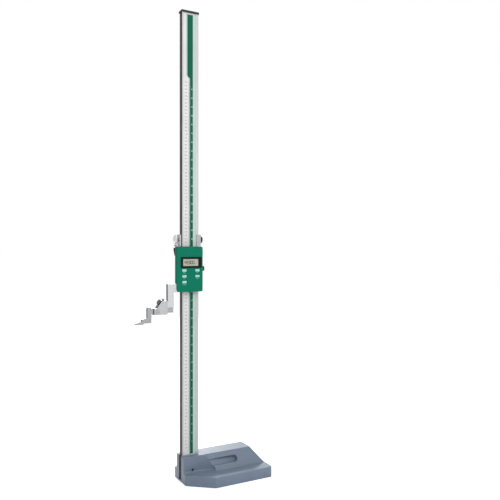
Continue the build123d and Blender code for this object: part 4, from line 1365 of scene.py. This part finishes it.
@dataclass(frozen=True)
class Studio:
    """Camera, lamps, floor and surroundings.

    Args:
        eye: Place of the camera, in metres.
        look: Direction in which it looks.
        lens: Focal length, in millimetres.
        lamps: The lamps.
        surroundings: Strength of the surroundings' light.
        floor_size: Half width of the floor.
        floor_near: Strength of the floor's white near the object.
        floor_far: Strength of the floor's white further off.
        fade: Distances from the object between which the white grows, in metres.
    """

    eye: Point = (-0.685, -1.606, 0.664)
    look: Point = (0.483, 0.875, 0.0)
    lens: float = 43.2
    lamps: Tuple[Lamp, ...] = (
        Lamp("key light", (0.9, 3.0, 2.1), (0.05, 0.0, 0.1), 0.8, 86.0),
        Lamp("front fill", (0.1, -2.1, 2.4), (0.0, 0.0, 1.1), 1.3, 18.0),
        Lamp("column fill", (0.1, -1.2, 0.98), (0.0, 0.0, 0.95), 0.5, 4.4),
        Lamp("right fill", (2.6, -0.8, 1.6), (0.0, 0.0, 0.8), 1.4, 5.0),
    )
    surroundings: float = 0.3
    floor_size: float = 9.0
    floor_near: float = 0.62
    floor_far: float = 0.71
    fade: Pair = (0.4, 1.6)

    def build(self) -> None:
        """Makes the studio."""
        scene = bpy.context.scene
        camera = bpy.data.objects.new("camera", bpy.data.cameras.new("camera"))
        scene.collection.objects.link(camera)
        camera.location = self.eye
        camera.rotation_mode = "QUATERNION"
        camera.rotation_quaternion = Vector(self.look).to_track_quat("-Z", "Y")
        camera.data.lens = self.lens
        camera.data.sensor_width = 36.0
        scene.camera = camera
        scene.view_settings.view_transform = "Standard"
        for lamp in self.lamps:
            lamp.build()
        self._floor()
        self._world()
        log.info("studio: %d lamps", len(self.lamps))

    def _floor(self) -> None:
        """Makes the floor, whose white is a little weaker near the object."""
        bm = bmesh.new()
        bmesh.ops.create_grid(bm, x_segments=1, y_segments=1, size=self.floor_size)
        mesh = bpy.data.meshes.new("floor")
        bm.to_mesh(mesh)
        bm.free()
        floor = bpy.data.objects.new("floor", mesh)
        bpy.context.scene.collection.objects.link(floor)
        material = bpy.data.materials.new("floor")
        material.use_nodes = True
        tree = material.node_tree
        coords = tree.nodes.new("ShaderNodeTexCoord").outputs["Object"]
        away = add_node(tree, "ShaderNodeVectorMath", {0: coords}, operation="LENGTH")
        glow = add_range(
            tree, away.outputs["Value"], self.fade, (self.floor_near, self.floor_far),
            interpolation_type="SMOOTHSTEP",
        )
        inputs = {
            "Base Color": (0.93, 0.93, 0.93, 1.0),
            "Roughness": 0.9,
            "Emission Color": WHITE,
            "Emission Strength": add_math(tree, "MULTIPLY", glow, self._seen(tree)),
        }
        feed(tree, tree.nodes["Principled BSDF"], inputs)
        mesh.materials.append(material)

    @staticmethod
    def _seen(tree: Tree) -> Socket:
        """Value that is 1 where a camera, glossy or transmitted ray arrives.

        Args:
            tree: The node tree.

        Returns:
            Socket of the value.
        """
        paths = tree.nodes.new("ShaderNodeLightPath").outputs
        either = add_math(tree, "MAXIMUM", paths["Is Camera Ray"], paths["Is Glossy Ray"])
        return add_math(tree, "MAXIMUM", either, paths["Is Transmission Ray"])

    def _world(self) -> None:
        """Makes soft surroundings that are seen as white."""
        world = bpy.data.worlds.new("surroundings")
        bpy.context.scene.world = world
        world.use_nodes = True
        tree = world.node_tree
        tree.nodes.clear()
        inputs = {"Fac": self._seen(tree)}
        for place, strength in ((1, self.surroundings), (2, 1.0)):
            light = {"Color": WHITE, "Strength": strength}
            shader = add_node(tree, "ShaderNodeBackground", light)
            inputs[place] = shader.outputs["Background"]
        mix = add_node(tree, "ShaderNodeMixShader", inputs)
        add_node(tree, "ShaderNodeOutputWorld", {"Surface": mix.outputs["Shader"]})


def main() -> None:
    """Builds the whole scene."""
    logging.basicConfig(level=logging.INFO)
    shop = Workshop(MaterialLibrary(Effects()), frame["nodes"], frame["joints"])
    for assembly in (BaseStand(), Column(), Carriage(), Slider(), DisplayUnit(), ScriberArm()):
        assembly.dress(shop)
        assembly.build(shop)
        log.info("%s built", type(assembly).__name__)
    Studio().build()


if __name__ == "__main__":
    main()
